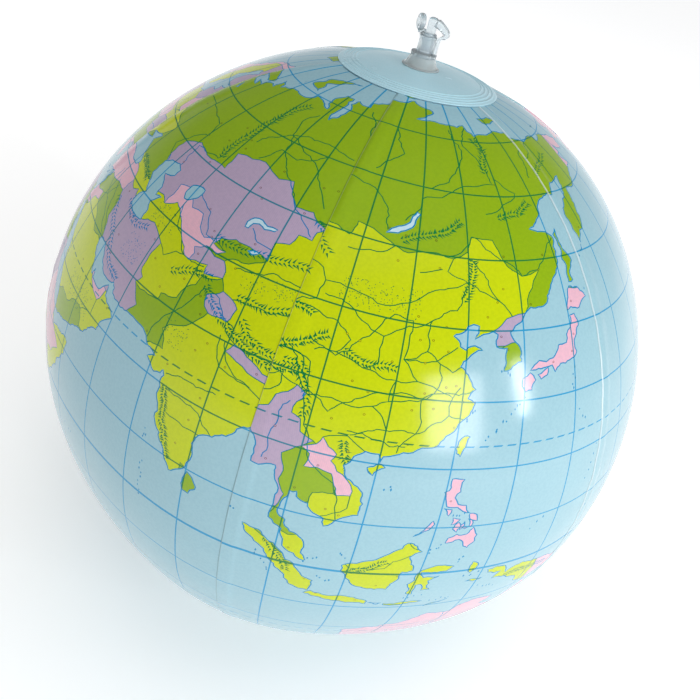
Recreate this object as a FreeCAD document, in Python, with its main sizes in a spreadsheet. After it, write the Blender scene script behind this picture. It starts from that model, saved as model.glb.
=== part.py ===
"""Inflatable world-globe ball: six welded gores, two pole caps and a soft push-in valve.

All lengths are millimetres and all angles are degrees.  +Z runs up the polar axis and out of
the valve, the origin is under the south pole where the ball rests, and the seam between the two
Asian gores faces -Y.
"""
import FreeCAD
import Part
import Sketcher

import math
import os

# name, value, what it is: the driving dimensions, copied into the document's spreadsheet.
DRIVING_SIZES = [
    ("equator_radius", 150.0, "outside radius of the blown-up ball at its equator"),
    ("arc_offset", 3.6, "distance of a meridian arc's centre from the polar axis"),
    ("film", 0.3, "thickness of the vinyl film"),
    ("gore_angle", 60.0, "angle of one gore about the polar axis"),
    ("gore_end_radius", 28.0, "radius at which a gore ends, under the cap"),
    ("lap_angle", 1.6, "angle by which a gore's tab passes under its neighbour"),
    ("lap_root_angle", 0.6, "angle over which the tab is joined to its own gore"),
    ("cap_radius", 35.0, "radius of a pole cap"),
    ("rib_radius", 33.2, "radius of the outermost weld rib on a cap"),
    ("rib_pitch", 1.8, "spacing of the weld ribs"),
    ("rib_height", 0.22, "height of a weld rib above the film"),
    ("flange_radius", 16.0, "radius of the valve's welded flange"),
    ("flange_thickness", 0.8, "thickness of the valve's welded flange"),
    ("skirt_base_radius", 7.2, "outside radius of the flexible skirt at the cap"),
    ("skirt_top_radius", 5.4, "outside radius of the flexible skirt under the shoulder"),
    ("skirt_height", 4.6, "height of the flexible skirt above the cap"),
    ("skirt_wall", 0.8, "wall of the flexible skirt"),
    ("shoulder_radius", 5.6, "radius of the stem's shoulder"),
    ("shoulder_height", 1.4, "height of the stem's shoulder"),
    ("neck_radius", 3.8, "outside radius of the stem's tube"),
    ("neck_height", 6.8, "height of the neck above the shoulder"),
    ("bore_radius", 2.2, "radius of the stem's bore"),
    ("tube_depth", 2.6, "depth of the stem's tube below the cap"),
    ("edge_rounding", 0.3, "rounding of the stem's edges"),
    ("plug_clearance", 0.05, "radial clearance of the plug's shank in the bore"),
    ("plug_gap", 0.1, "gap between the plug's collar and the neck"),
    ("shank_length", 6.0, "length of the plug's shank in the bore"),
    ("collar_radius", 3.3, "radius of the plug's collar"),
    ("collar_height", 0.9, "height of the plug's collar"),
    ("knob_height", 7.4, "height of the plug's knob above the neck"),
    ("knob_width", 4.4, "width of the plug's knob across the strap"),
    ("knob_left", 1.6, "reach of the knob away from the strap"),
    ("knob_right", 2.4, "reach of the knob towards the strap"),
    ("knob_shoulder", 0.7, "height of the knob's shoulders as a share of its height"),
    ("knob_crown_left", 0.4, "share of knob_left that the knob's flat crown reaches"),
    ("knob_crown_right", 0.5, "share of knob_right that the knob's flat crown reaches"),
    ("knob_root", 0.5, "share of the collar's height that the knob is sunk into it"),
    ("tip_length", 0.9, "length of the tapered tip of the plug's shank"),
    ("tip_radius", 0.7, "radius of the end of the tip as a share of the shank's radius"),
    ("tab_radius", 3.9, "radius of the plug's round pull tab"),
    ("tab_thickness", 2.2, "thickness of the pull tab"),
    ("tab_reach", 4.7, "distance of the pull tab's middle from the valve's axis"),
    ("tab_turn", 20.0, "turn of the pull tab about the valve's axis"),
    ("strap_width", 3.6, "width of the strap that ties the plug to the stem"),
    ("strap_thickness", 1.3, "thickness of the strap"),
    ("strap_reach", 8.6, "distance of the strap's fold from the valve's axis"),
    ("strap_lift", 0.26, "height of the strap's fold above the neck"),
    ("strap_rise", 1.95, "rise of the strap from its fold to the knob"),
    ("flap_radius", 3.1, "radius of the non-return flap"),
    ("flap_thickness", 0.5, "thickness of the non-return flap"),
    ("flap_gap", 0.1, "gap between the flap and the end of the tube"),
    ("flap_bead_radius", 0.35, "radius of the bead on the flap's hinge line"),
    ("flap_hinge_reach", 3.5, "distance of the flap's hinge line from the valve's axis"),
]

# Longitude of the western seam of each gore, and the node's name.  Longitude 180 is on +X.
GORES = [
    (-30.0, "gore_europe_africa"),
    (30.0, "gore_west_asia"),
    (90.0, "gore_east_asia"),
    (150.0, "gore_pacific"),
    (210.0, "gore_west_americas"),
    (270.0, "gore_east_americas"),
]
LONGITUDE_ON_X = 180.0
RIB_COUNT = 4
SAME_LENGTH = 1e-4

X_AXIS = FreeCAD.Vector(1, 0, 0)
Y_AXIS = FreeCAD.Vector(0, 1, 0)
Z_AXIS = FreeCAD.Vector(0, 0, 1)

# Heights and radii that follow from the driving sizes, as expressions on the sheet.
GORE_RADIUS = "(Sizes.equator_radius - Sizes.arc_offset)"
BALL_CENTRE = f"({GORE_RADIUS} + Sizes.film)"
CAP_TOP = f"(2 * {BALL_CENTRE})"
NECK_FOOT = "(Sizes.skirt_height + Sizes.shoulder_height)"
NECK_TOP = f"({NECK_FOOT} + Sizes.neck_height)"
SHANK_RADIUS = "(Sizes.bore_radius - Sizes.plug_clearance)"
COLLAR_FOOT = f"({NECK_TOP} + Sizes.plug_gap)"
COLLAR_TOP = f"({COLLAR_FOOT} + Sizes.collar_height)"
FLAP_TOP = "(-Sizes.tube_depth - Sizes.flap_gap)"

document = FreeCAD.newDocument("GlobeBall")


def make_sheet():
    """Put every driving size in a named cell of the spreadsheet."""
    sheet = document.addObject("Spreadsheet::Sheet", "Sizes")
    for row, (name, value, meaning) in enumerate(DRIVING_SIZES, start=1):
        sheet.set(f"A{row}", name)
        sheet.set(f"B{row}", str(value))
        sheet.set(f"C{row}", meaning)
        sheet.setAlias(f"B{row}", name)
    document.recompute()
    return sheet


sizes = make_sheet()


def value_of(expression):
    """Return the plain number that an expression on the sheet gives."""
    return float(sizes.evalExpression(expression))


def make_body(label, height="0", turn=0.0, turn_axis=Z_AXIS):
    """Add a body of its own label, at a height on the polar axis and turned about it."""
    body = document.addObject("PartDesign::Body", label)
    body.Label = label
    body.Placement = FreeCAD.Placement(FreeCAD.Vector(), FreeCAD.Rotation(turn_axis, turn))
    body.setExpression("Placement.Base.z", height)
    return body


def make_sketch(body, name, plane="XZ_Plane"):
    """Add a sketch on one of the body's own origin planes."""
    sketch = body.newObject("Sketcher::SketchObject", f"{body.Name}_{name}")
    support = next(item for item in body.Origin.OriginFeatures if item.Role == plane)
    sketch.AttachmentSupport = (support, [""])
    sketch.MapMode = "FlatFace"
    return sketch


def pin_coordinate(sketch, kind, geometry, end, expression):
    """Hold one coordinate of a sketch point at an expression's value."""
    if expression == "0":
        axis = -2 if kind == "DistanceX" else -1
        sketch.addConstraint(Sketcher.Constraint("PointOnObject", geometry, end, axis))
        return
    constraint = Sketcher.Constraint(kind, -1, 1, geometry, end, value_of(expression))
    index = sketch.addConstraint(constraint)
    sketch.setExpression(f"Constraints[{index}]", expression)


def draw_polygon(sketch, corners):
    """Draw a closed outline whose corners are pairs of expressions."""
    points = [FreeCAD.Vector(value_of(across), value_of(up), 0) for across, up in corners]
    count = len(points)
    first = None
    for index, point in enumerate(points):
        line = sketch.addGeometry(Part.LineSegment(point, points[(index + 1) % count]))
        first = line if first is None else first
    for index in range(count):
        follower = (index + 1) % count
        sketch.addConstraint(
            Sketcher.Constraint("Coincident", first + index, 2, first + follower, 1))
    for index, (across, up) in enumerate(corners):
        pin_coordinate(sketch, "DistanceX", first + index, 1, across)
        pin_coordinate(sketch, "DistanceY", first + index, 1, up)


def draw_film(sketch, outer, inner, far_reach, near_reach=None):
    """Draw a film's section between two meridian arcs, its ends cut parallel to the axis.

    The section runs from far_reach in to near_reach above the equator.  Without near_reach it
    runs from far_reach below the equator to far_reach above it, as a gore's does.
    """
    offset = value_of("Sizes.arc_offset")
    centre = FreeCAD.Vector(offset, 0, 0)
    arcs = []
    for radius in (outer, inner):
        length = value_of(radius)
        low = math.acos((value_of(far_reach) - offset) / length)
        high = low if near_reach is None else math.acos((value_of(near_reach) - offset) / length)
        start = -low if near_reach is None else low
        circle = Part.Circle(centre, Z_AXIS, length)
        arc = sketch.addGeometry(Part.ArcOfCircle(circle, start, high))
        held = sketch.addConstraint(Sketcher.Constraint("Radius", arc, length))
        sketch.setExpression(f"Constraints[{held}]", radius)
        arcs.append(arc)
    for arc in arcs:
        sketch.addConstraint(Sketcher.Constraint("PointOnObject", arc, 3, -1))
        pin_coordinate(sketch, "DistanceX", arc, 3, "Sizes.arc_offset")
    end_reach = far_reach if near_reach is None else near_reach
    for point, reach in ((1, far_reach), (2, end_reach)):
        ends = [sketch.getPoint(arc, point) for arc in arcs]
        line = sketch.addGeometry(Part.LineSegment(*ends))
        for arc, line_end in zip(arcs, (1, 2)):
            sketch.addConstraint(Sketcher.Constraint("Coincident", arc, point, line, line_end))
        for line_end in (1, 2):
            pin_coordinate(sketch, "DistanceX", line, line_end, reach)


def revolve(body, sketch, name="Turned", angle=None):
    """Turn a sketch about its own upright axis, a full turn if no angle is given."""
    feature = body.newObject("PartDesign::Revolution", f"{body.Name}_{name}")
    feature.Profile = sketch
    feature.ReferenceAxis = (sketch, ["V_Axis"])
    feature.Angle = 360.0
    if angle:
        feature.setExpression("Angle", angle)
    sketch.Visibility = False
    return feature


def pad(body, sketch, width, name="Padded"):
    """Thicken a sketch to both sides of its plane."""
    feature = body.newObject("PartDesign::Pad", f"{body.Name}_{name}")
    feature.Profile = sketch
    feature.SideType = "Symmetric"
    feature.Length = value_of(width)
    feature.setExpression("Length", width)
    sketch.Visibility = False
    return feature


def make_gore(label, west_seam):
    """One printed gore and the tab that is welded under its eastern neighbour."""
    body = make_body(label, BALL_CENTRE, west_seam - LONGITUDE_ON_X)
    sketch = make_sketch(body, "Film")
    draw_film(sketch, GORE_RADIUS, f"({GORE_RADIUS} - Sizes.film)", "Sizes.gore_end_radius")
    revolve(body, sketch, "FilmTurned", "Sizes.gore_angle")

    tab = make_sketch(body, "Tab")
    tab.AttachmentOffset = FreeCAD.Placement(
        FreeCAD.Vector(), FreeCAD.Rotation(Y_AXIS, value_of("Sizes.gore_angle")))
    tab.setExpression("AttachmentOffset.Rotation.Angle",
                      "Sizes.gore_angle - Sizes.lap_root_angle")
    draw_film(tab, f"({GORE_RADIUS} - Sizes.film)", f"({GORE_RADIUS} - 2 * Sizes.film)",
              "Sizes.gore_end_radius")
    revolve(body, tab, "TabTurned", "Sizes.lap_root_angle + Sizes.lap_angle")
    return body


def make_cap(label, near_reach, turn=0.0):
    """A pole cap with its concentric weld ribs; a turn of 180 puts it on the south pole."""
    body = make_body(label, BALL_CENTRE, turn, X_AXIS)
    sketch = make_sketch(body, "Film")
    draw_film(sketch, BALL_CENTRE, GORE_RADIUS, "Sizes.cap_radius", near_reach)
    revolve(body, sketch)
    for index in range(RIB_COUNT):
        reach = f"(Sizes.rib_radius - {index} * Sizes.rib_pitch)"
        rib = body.newObject("PartDesign::AdditiveTorus", f"{body.Name}_Rib{index + 1}")
        rib.setExpression("Radius1", reach)
        rib.setExpression("Radius2", "Sizes.rib_height")
        rib.setExpression("Placement.Base.z",
                          f"sqrt({BALL_CENTRE}^2 - ({reach} - Sizes.arc_offset)^2)")
    return body


def close_cap(body):
    """Fill a cap's middle with the small flat spot that the ball rests on."""
    spot = body.newObject("PartDesign::AdditiveCylinder", f"{body.Name}_Spot")
    spot.setExpression("Radius", "Sizes.arc_offset")
    spot.setExpression("Height", "Sizes.film")
    spot.setExpression("Placement.Base.z", GORE_RADIUS)


def make_flange():
    """The valve's flat skirt of vinyl, welded to the inside of the north cap."""
    body = make_body("valve_flange", BALL_CENTRE)
    sketch = make_sketch(body, "Section")
    draw_film(sketch, GORE_RADIUS, f"({GORE_RADIUS} - Sizes.flange_thickness)",
              "Sizes.flange_radius", "Sizes.skirt_base_radius")
    revolve(body, sketch)
    return body


def make_skirt():
    """The thin cone that turns inside out when the stem is pushed in."""
    body = make_body("valve_skirt", CAP_TOP)
    sketch = make_sketch(body, "Section")
    foot = "(-Sizes.film - Sizes.flange_thickness)"
    base_bore = "(Sizes.skirt_base_radius - Sizes.skirt_wall)"
    top_bore = "(Sizes.skirt_top_radius - Sizes.skirt_wall)"
    draw_polygon(sketch, [
        (base_bore, foot),
        ("Sizes.skirt_base_radius", foot),
        ("Sizes.skirt_base_radius", "0"),
        ("Sizes.skirt_top_radius", "Sizes.skirt_height"),
        (top_bore, "Sizes.skirt_height"),
        (base_bore, "0"),
    ])
    revolve(body, sketch)
    return body


def round_edges_at(body, circles):
    """Round the circular edges whose radius and height are given."""
    source = body.Tip
    chosen = []
    for radius, height in circles:
        for index, edge in enumerate(source.Shape.Edges, start=1):
            curve = edge.Curve
            if not isinstance(curve, Part.Circle):
                continue
            same_radius = abs(curve.Radius - value_of(radius)) < SAME_LENGTH
            if same_radius and abs(curve.Center.z - value_of(height)) < SAME_LENGTH:
                chosen.append(f"Edge{index}")
    fillet = body.newObject("PartDesign::Fillet", f"{body.Name}_Rounding")
    fillet.Base = (source, chosen)
    fillet.Radius = value_of("Sizes.edge_rounding")
    fillet.setExpression("Radius", "Sizes.edge_rounding")
    return fillet


def make_stem():
    """The tube that carries the shoulder, the neck and the plug's bore."""
    body = make_body("valve_stem", CAP_TOP)
    sketch = make_sketch(body, "Section")
    draw_polygon(sketch, [
        ("Sizes.bore_radius", "-Sizes.tube_depth"),
        ("Sizes.neck_radius", "-Sizes.tube_depth"),
        ("Sizes.neck_radius", "Sizes.skirt_height"),
        ("Sizes.shoulder_radius", "Sizes.skirt_height"),
        ("Sizes.shoulder_radius", NECK_FOOT),
        ("Sizes.neck_radius", NECK_FOOT),
        ("Sizes.neck_radius", NECK_TOP),
        ("Sizes.bore_radius", NECK_TOP),
    ])
    revolve(body, sketch)
    document.recompute()
    round_edges_at(body, [
        ("Sizes.shoulder_radius", NECK_FOOT),
        ("Sizes.neck_radius", NECK_TOP),
    ])
    return body


def make_strap():
    """The folded band that ties the plug to the stem."""
    body = make_body("plug_strap", CAP_TOP)
    sketch = make_sketch(body, "Outline")
    thick = "Sizes.strap_thickness"
    inner_side = "(Sizes.neck_radius + Sizes.plug_gap)"
    fold = "Sizes.strap_reach"
    low = f"({NECK_TOP} + Sizes.strap_lift)"
    middle = f"({low} + {thick})"
    high = f"({middle} + {thick})"
    knob_side = "Sizes.knob_right"
    rise = f"({high} + Sizes.strap_rise)"
    draw_polygon(sketch, [
        (inner_side, NECK_FOOT),
        (f"({inner_side} + {thick})", NECK_FOOT),
        (f"({inner_side} + {thick})", low),
        (fold, low),
        (fold, high),
        (knob_side, rise),
        (knob_side, f"({rise} - {thick})"),
        (f"({inner_side} + {thick})", middle),
        (inner_side, middle),
    ])
    pad(body, sketch, "Sizes.strap_width")
    return body


def make_plug():
    """The stopper: shank, collar, knob and a round pull tab."""
    body = make_body("valve_plug", CAP_TOP)
    turned = make_sketch(body, "Turned")
    draw_polygon(turned, [
        ("0", f"({NECK_TOP} - Sizes.shank_length)"),
        (f"({SHANK_RADIUS} * Sizes.tip_radius)", f"({NECK_TOP} - Sizes.shank_length)"),
        (SHANK_RADIUS, f"({NECK_TOP} - Sizes.shank_length + Sizes.tip_length)"),
        (SHANK_RADIUS, COLLAR_FOOT),
        ("Sizes.collar_radius", COLLAR_FOOT),
        ("Sizes.collar_radius", COLLAR_TOP),
        ("0", COLLAR_TOP),
    ])
    revolve(body, turned, "Shank")

    knob = make_sketch(body, "Knob")
    waist = f"({COLLAR_TOP} - Sizes.knob_root * Sizes.collar_height)"
    shoulder = f"({NECK_TOP} + Sizes.knob_shoulder * Sizes.knob_height)"
    crown = f"({NECK_TOP} + Sizes.knob_height)"
    draw_polygon(knob, [
        ("(-Sizes.knob_left)", waist),
        ("Sizes.knob_right", waist),
        ("Sizes.knob_right", shoulder),
        ("(Sizes.knob_crown_right * Sizes.knob_right)", crown),
        ("(-Sizes.knob_crown_left * Sizes.knob_left)", crown),
        ("(-Sizes.knob_left)", shoulder),
    ])
    pad(body, knob, "Sizes.knob_width", "KnobPadded")

    web = make_sketch(body, "Web")
    draw_polygon(web, [
        ("(-Sizes.tab_reach)", COLLAR_FOOT),
        ("0", COLLAR_FOOT),
        ("0", f"({COLLAR_TOP} + Sizes.collar_height)"),
        ("(-Sizes.tab_reach)", f"({COLLAR_TOP} + Sizes.collar_height)"),
    ])
    pad(body, web, "Sizes.tab_thickness", "WebPadded")

    tab = body.newObject("PartDesign::AdditiveCylinder", "valve_plug_PullTab")
    tab.setExpression("Radius", "Sizes.tab_radius")
    tab.setExpression("Height", "Sizes.tab_thickness")
    lean = FreeCAD.Rotation(Z_AXIS, value_of("Sizes.tab_turn"))
    tab.Placement.Rotation = lean.multiply(FreeCAD.Rotation(Y_AXIS, 90))
    tab.setExpression("Placement.Base.x",
                      "-Sizes.tab_reach - 0.5 * Sizes.tab_thickness * cos(Sizes.tab_turn)")
    tab.setExpression("Placement.Base.y",
                      "-0.5 * Sizes.tab_thickness * sin(Sizes.tab_turn)")
    tab.setExpression("Placement.Base.z", f"{COLLAR_FOOT} + Sizes.tab_radius")
    return body


def make_flap():
    """The non-return flap under the tube, with a bead on its hinge line."""
    flap_foot = f"({FLAP_TOP} - Sizes.flap_thickness)"
    disc = document.addObject("Part::Cylinder", "FlapDisc")
    disc.setExpression("Radius", "Sizes.flap_radius")
    disc.setExpression("Height", "Sizes.flap_thickness")
    disc.setExpression("Placement.Base.z", f"{CAP_TOP} + {flap_foot}")
    bead = document.addObject("Part::Cylinder", "FlapBead")
    bead.setExpression("Radius", "Sizes.flap_bead_radius")
    bead.setExpression("Height", "Sizes.flap_radius")
    bead.Placement.Rotation = FreeCAD.Rotation(X_AXIS, -90)
    bead.setExpression("Placement.Base.x", "-Sizes.flap_hinge_reach")
    bead.setExpression("Placement.Base.y", "-0.5 * Sizes.flap_radius")
    bead.setExpression("Placement.Base.z", f"{CAP_TOP} + {FLAP_TOP} - Sizes.flap_bead_radius")
    tongue = document.addObject("Part::Box", "FlapTongue")
    tongue.setExpression("Length", "Sizes.flap_hinge_reach")
    tongue.setExpression("Width", "Sizes.flap_radius")
    tongue.setExpression("Height", "Sizes.flap_thickness")
    tongue.setExpression("Placement.Base.x", "-Sizes.flap_hinge_reach")
    tongue.setExpression("Placement.Base.y", "-0.5 * Sizes.flap_radius")
    tongue.setExpression("Placement.Base.z", f"{CAP_TOP} + {flap_foot}")
    flap = document.addObject("Part::MultiFuse", "check_flap")
    flap.Label = "check_flap"
    flap.Shapes = [disc, bead, tongue]
    flap.Refine = True
    return flap


def check_document():
    """Stop if any object of the document failed to build."""
    for item in document.Objects:
        if "Invalid" in item.State or "Error" in item.State:
            raise RuntimeError(f"{item.Name} did not build: {item.State}")


def export(nodes):
    """Check each node's solid and write it to its own STEP file."""
    os.makedirs("parts", exist_ok=True)
    for node in nodes:
        shape = node.Shape
        if shape.isNull() or not shape.isValid() or len(shape.Solids) != 1:
            raise RuntimeError(f"{node.Label} is not one valid solid")
        box = shape.BoundBox
        print(f"{node.Label}: {shape.Volume:.1f} mm3, x {box.XMin:.1f}..{box.XMax:.1f}, "
              f"y {box.YMin:.1f}..{box.YMax:.1f}, z {box.ZMin:.1f}..{box.ZMax:.1f}")
        shape.exportStep(f"parts/{node.Label}.step")


def main():
    """Build the whole ball and write its parts."""
    nodes = [make_gore(label, west_seam) for west_seam, label in GORES]
    north_cap = make_cap("north_cap", "Sizes.skirt_base_radius")
    south_cap = make_cap("south_cap", "Sizes.arc_offset", 180.0)
    close_cap(south_cap)
    nodes += [north_cap, south_cap]
    nodes += [make_flange(), make_skirt(), make_stem(), make_strap(), make_plug(), make_flap()]
    document.recompute()
    check_document()
    export(nodes)


main()
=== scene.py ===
"""Looks of the inflatable world-globe ball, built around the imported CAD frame."""

import math
import random

import bmesh
import bpy
from mathutils import Matrix, Vector
from mathutils.geometry import delaunay_2d_cdt


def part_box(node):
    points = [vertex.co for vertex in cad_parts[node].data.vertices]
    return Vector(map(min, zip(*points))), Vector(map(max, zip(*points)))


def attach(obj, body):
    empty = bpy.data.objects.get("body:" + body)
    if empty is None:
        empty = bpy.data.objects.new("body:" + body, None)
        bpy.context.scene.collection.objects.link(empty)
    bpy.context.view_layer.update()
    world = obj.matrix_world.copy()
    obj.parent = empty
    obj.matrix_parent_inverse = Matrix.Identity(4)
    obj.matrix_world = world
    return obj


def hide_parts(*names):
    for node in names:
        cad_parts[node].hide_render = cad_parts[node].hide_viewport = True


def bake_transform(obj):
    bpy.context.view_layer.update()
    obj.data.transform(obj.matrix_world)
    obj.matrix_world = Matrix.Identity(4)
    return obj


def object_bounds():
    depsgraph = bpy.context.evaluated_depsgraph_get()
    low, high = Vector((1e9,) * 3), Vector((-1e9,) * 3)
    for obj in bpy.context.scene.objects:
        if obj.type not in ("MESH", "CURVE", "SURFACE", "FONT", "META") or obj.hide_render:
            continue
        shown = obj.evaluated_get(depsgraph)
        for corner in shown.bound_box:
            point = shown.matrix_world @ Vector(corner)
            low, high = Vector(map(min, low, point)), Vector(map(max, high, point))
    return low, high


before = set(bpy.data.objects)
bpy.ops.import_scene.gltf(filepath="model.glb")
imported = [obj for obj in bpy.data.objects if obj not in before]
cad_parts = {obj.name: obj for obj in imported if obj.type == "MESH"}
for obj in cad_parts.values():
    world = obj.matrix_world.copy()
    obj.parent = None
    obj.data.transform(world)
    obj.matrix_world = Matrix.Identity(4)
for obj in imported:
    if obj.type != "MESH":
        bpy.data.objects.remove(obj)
CAD_LOW, CAD_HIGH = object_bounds()

bl_info = {
    "name": "Inflatable Globe Ball",
    "version": (1, 0, 0),
    "blender": (4, 5, 0),
    "location": "View3D > Sidebar > Globe Ball",
    "description": "Builds a blown-up vinyl globe with printed gores, pole caps and a clear valve",
    "category": "Object",
}

MM = 0.001

# ---------------------------------------------------------------------------
# The printed map: outlines in degrees of longitude and latitude
# ---------------------------------------------------------------------------

OLD_WORLD = """
25.7 71.1, 31 70.3, 33 69.3, 38 68, 41 66.8, 38.5 66, 34.8 66.6, 32.5 67, 34.8 64.4, 38 63.9,
36.9 65.1, 40 64.6, 39.8 65.6, 42.5 66.4, 44.2 66, 43.9 68.5, 46 67.8, 46.5 66.9, 53 68.5,
54 68.3, 59 68.6, 60.6 69.8, 64.8 69.3, 68.5 68.3, 66.8 69.6, 67 71.5, 69 72.9, 72.6 72.8,
72.8 70.5, 71.8 68, 72.2 66.4, 74 67.5, 75 69, 73.7 71.4, 75.3 72.8, 77.5 72.2, 80.7 72.3,
80.5 73.6, 87 75, 94 76.1, 99 76.3, 104 77.7, 107 76.7, 112 76.3, 113.6 75.5, 110 74.1,
106 73.1, 113.5 73.5, 118.5 73.2, 123.3 73, 126.5 73.6, 129.5 71.2, 132 71.8, 139.5 72.3,
140.5 72.6, 149.5 72.2, 152.5 70.9, 160 69.7, 170.5 70.1, 170.6 68.9, 176 69.8, 181 68.8,
190 66.1, 187.2 64.4, 181 66.3, 180.5 64.9, 177.5 64.7, 179.5 62.5, 174.5 61.8, 170.3 60,
164 59.9, 163 58, 162 56.2, 161.8 55, 160 53, 158.4 52.9, 156.7 51, 155.6 55, 156 57,
158.5 58.5, 162 60.5, 163.5 62.3, 160.5 61.8, 156.7 61.5, 154.5 59.5, 150 59.6, 143 59.3,
138 55.6, 135.5 54.7, 139.8 54, 141.3 53.2, 140.5 50, 140 48.5, 136.5 45.2, 134 43.1,
131.9 43.2, 130.5 42.3, 129.7 41.2, 127.5 39.8, 127.8 39.1, 128.5 38.3, 129.4 37,
129.4 35.6, 127.5 34.6, 126.3 34.4, 126.6 36, 126.8 37.6, 125 37.8, 125.2 39.5, 124.3 39.9,
121.2 38.8, 121.9 40.6, 120.9 40.8, 119.4 39.7, 117.7 39, 118.9 37.6, 119.8 37.2, 120.8 37.8,
122.6 37.3, 120.3 36.1, 119.2 34.9, 120.5 33.8, 121.9 31.8, 120.8 30.5, 122 29.8,
121.4 28.2, 119.7 26.2, 118.1 24.5, 116.7 23.2, 114.2 22.3, 111.8 21.6, 110.4 21.2,
110.2 20.3, 109.8 21.5, 108 21.6, 106.7 20.6, 105.7 19, 107.2 16.8, 108.9 15.3, 109.3 13.5,
109.1 11.5, 106.9 10.4, 105.2 8.7, 104.9 10.1, 103.6 10.6, 102.6 12, 101 12.7, 100.9 13.5,
100 13.3, 99.4 11.4, 99.2 9.4, 100.4 8.3, 100.6 7.2, 102.3 6.2, 103.5 4.5, 103.4 2.7,
104.2 1.4, 103.4 1.4, 101.3 2.9, 100.4 5.3, 100.2 6.6, 98.3 8, 98.5 10.5, 98.6 12.5,
97.7 15, 97.5 16.5, 95.4 15.8, 94.4 16, 94.4 18.5, 93.5 20, 92.2 21.5, 91.8 22.4, 90.5 22.3,
88.5 21.7, 87 21.5, 86.8 20.5, 85.1 19.5, 82.3 16.8, 80.2 15.5, 80.2 13.3, 79.8 10.3,
79 9.3, 78.2 8.6, 77.5 8.1, 76.3 10, 74.8 13, 73.3 17, 72.8 19.5, 72.8 21.2, 72.4 21.9,
72.1 21.2, 71 20.8, 69 22.2, 70.3 22.9, 68.5 23.5, 67 24.8, 64.5 25.3, 61.6 25.2, 57.8 25.7,
56.9 27.1, 54.5 26.6, 52.5 27.5, 50.9 29, 50 30.1, 48.6 30.2, 48 29.9, 48.2 28.9, 49.6 27.2,
50.2 25.9, 50.8 24.8, 51.3 26, 51.6 24.6, 54 24.2, 56.1 26.1, 56.5 24.5, 58.6 23.6,
59.8 22.5, 57.8 20.5, 57.6 19, 55.3 17.3, 52.2 15.7, 48.5 14, 45 12.8, 43.4 12.7, 42.8 15.5,
41 18.5, 39.2 21.3, 37.2 24.9, 35 28, 34.9 29.4, 34.3 27.8, 32.7 29.9, 32.4 31.2, 34.3 31.3,
35 32.8, 35.8 35.5, 36 36.7, 34 36.3, 32.5 36.1, 30.6 36.8, 28.2 36.7, 27.3 37.2, 26.3 38.6,
26.8 39.4, 26.2 40.1, 26 40.8, 24 40.8, 23.6 40, 22.8 40.4, 24 38, 22.9 36.5, 21.3 37.7,
20 39.7, 19.4 41.9, 17 43.2, 14.9 45, 13.6 45.7, 12.3 45.3, 12.4 44.2, 14 42.5, 16.1 41.6,
18.4 40, 16.9 40.4, 17 39, 15.9 38, 15.6 40, 14.2 40.8, 12.2 41.8, 10.4 43, 8.8 44.4,
6.5 43.1, 3.2 43.2, 3.1 41.9, 0.3 40.5, 0 38.8, -2 36.8, -5.3 36.1, -6.3 36.8, -9 37,
-9.4 38.8, -8.8 41.5, -9.2 43.1, -2 43.4, -1.3 44.6, -1.3 46.2, -4.6 48, -1.6 48.7,
-1.8 49.7, 0.2 49.6, 1.8 50.9, 4 52, 5 53.2, 8.5 53.6, 8.2 56.6, 10.6 57.7, 10 54.5,
13.5 54.5, 18.5 54.7, 21 55.3, 21.5 57.4, 24.3 57.3, 23.5 58.8, 28 59.6, 30 60, 23 60,
21.3 61, 22 63, 25 65, 22.5 65.8, 20.8 63.9, 17.3 61.5, 18.9 60, 16.6 58, 16.4 56.5,
14.3 55.5, 12.8 55.5, 11.2 59, 10.5 59.2, 8.5 58.1, 7 58, 5.2 60, 5 62, 10 64, 13 66.5,
16 69, 19.5 70"""

AFRICA = """
32.4 29.9, 33.6 27.5, 35.5 24, 37.3 21, 37.3 18.8, 39.5 15.5, 43.2 12.5, 43.3 11.5,
44.5 10.4, 51.2 11.8, 50.8 9, 48 4.5, 43.5 0, 40.2 -2.6, 39 -5, 39.5 -7, 40.6 -11, 40.8 -15,
37 -18, 34.8 -20, 35.5 -24, 32.8 -26, 32.5 -28.5, 30.5 -31, 27.5 -33.5, 25.5 -34, 20 -34.8,
18.3 -34, 18 -32, 16.5 -28.5, 14.5 -23, 12 -17.5, 13.5 -12.5, 12.3 -6, 9 -1, 9.7 3.5,
8.5 4.6, 6 4.3, 4.3 6.3, 1 6, -2 4.8, -7.7 4.4, -13 8.5, -16.8 12.5, -17.4 14.7, -16.2 19,
-17 21, -13 27.8, -9.7 30, -9.5 32, -6 35.8, -2 35.2, 3 36.9, 10 37.3, 11 35.5, 10 34,
11.2 33.2, 15.3 32.3, 18 30.5, 20 31, 20.1 32.4, 23 32.6, 25 31.6, 29 30.9, 31 31.5,
32.4 31.2"""

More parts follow.
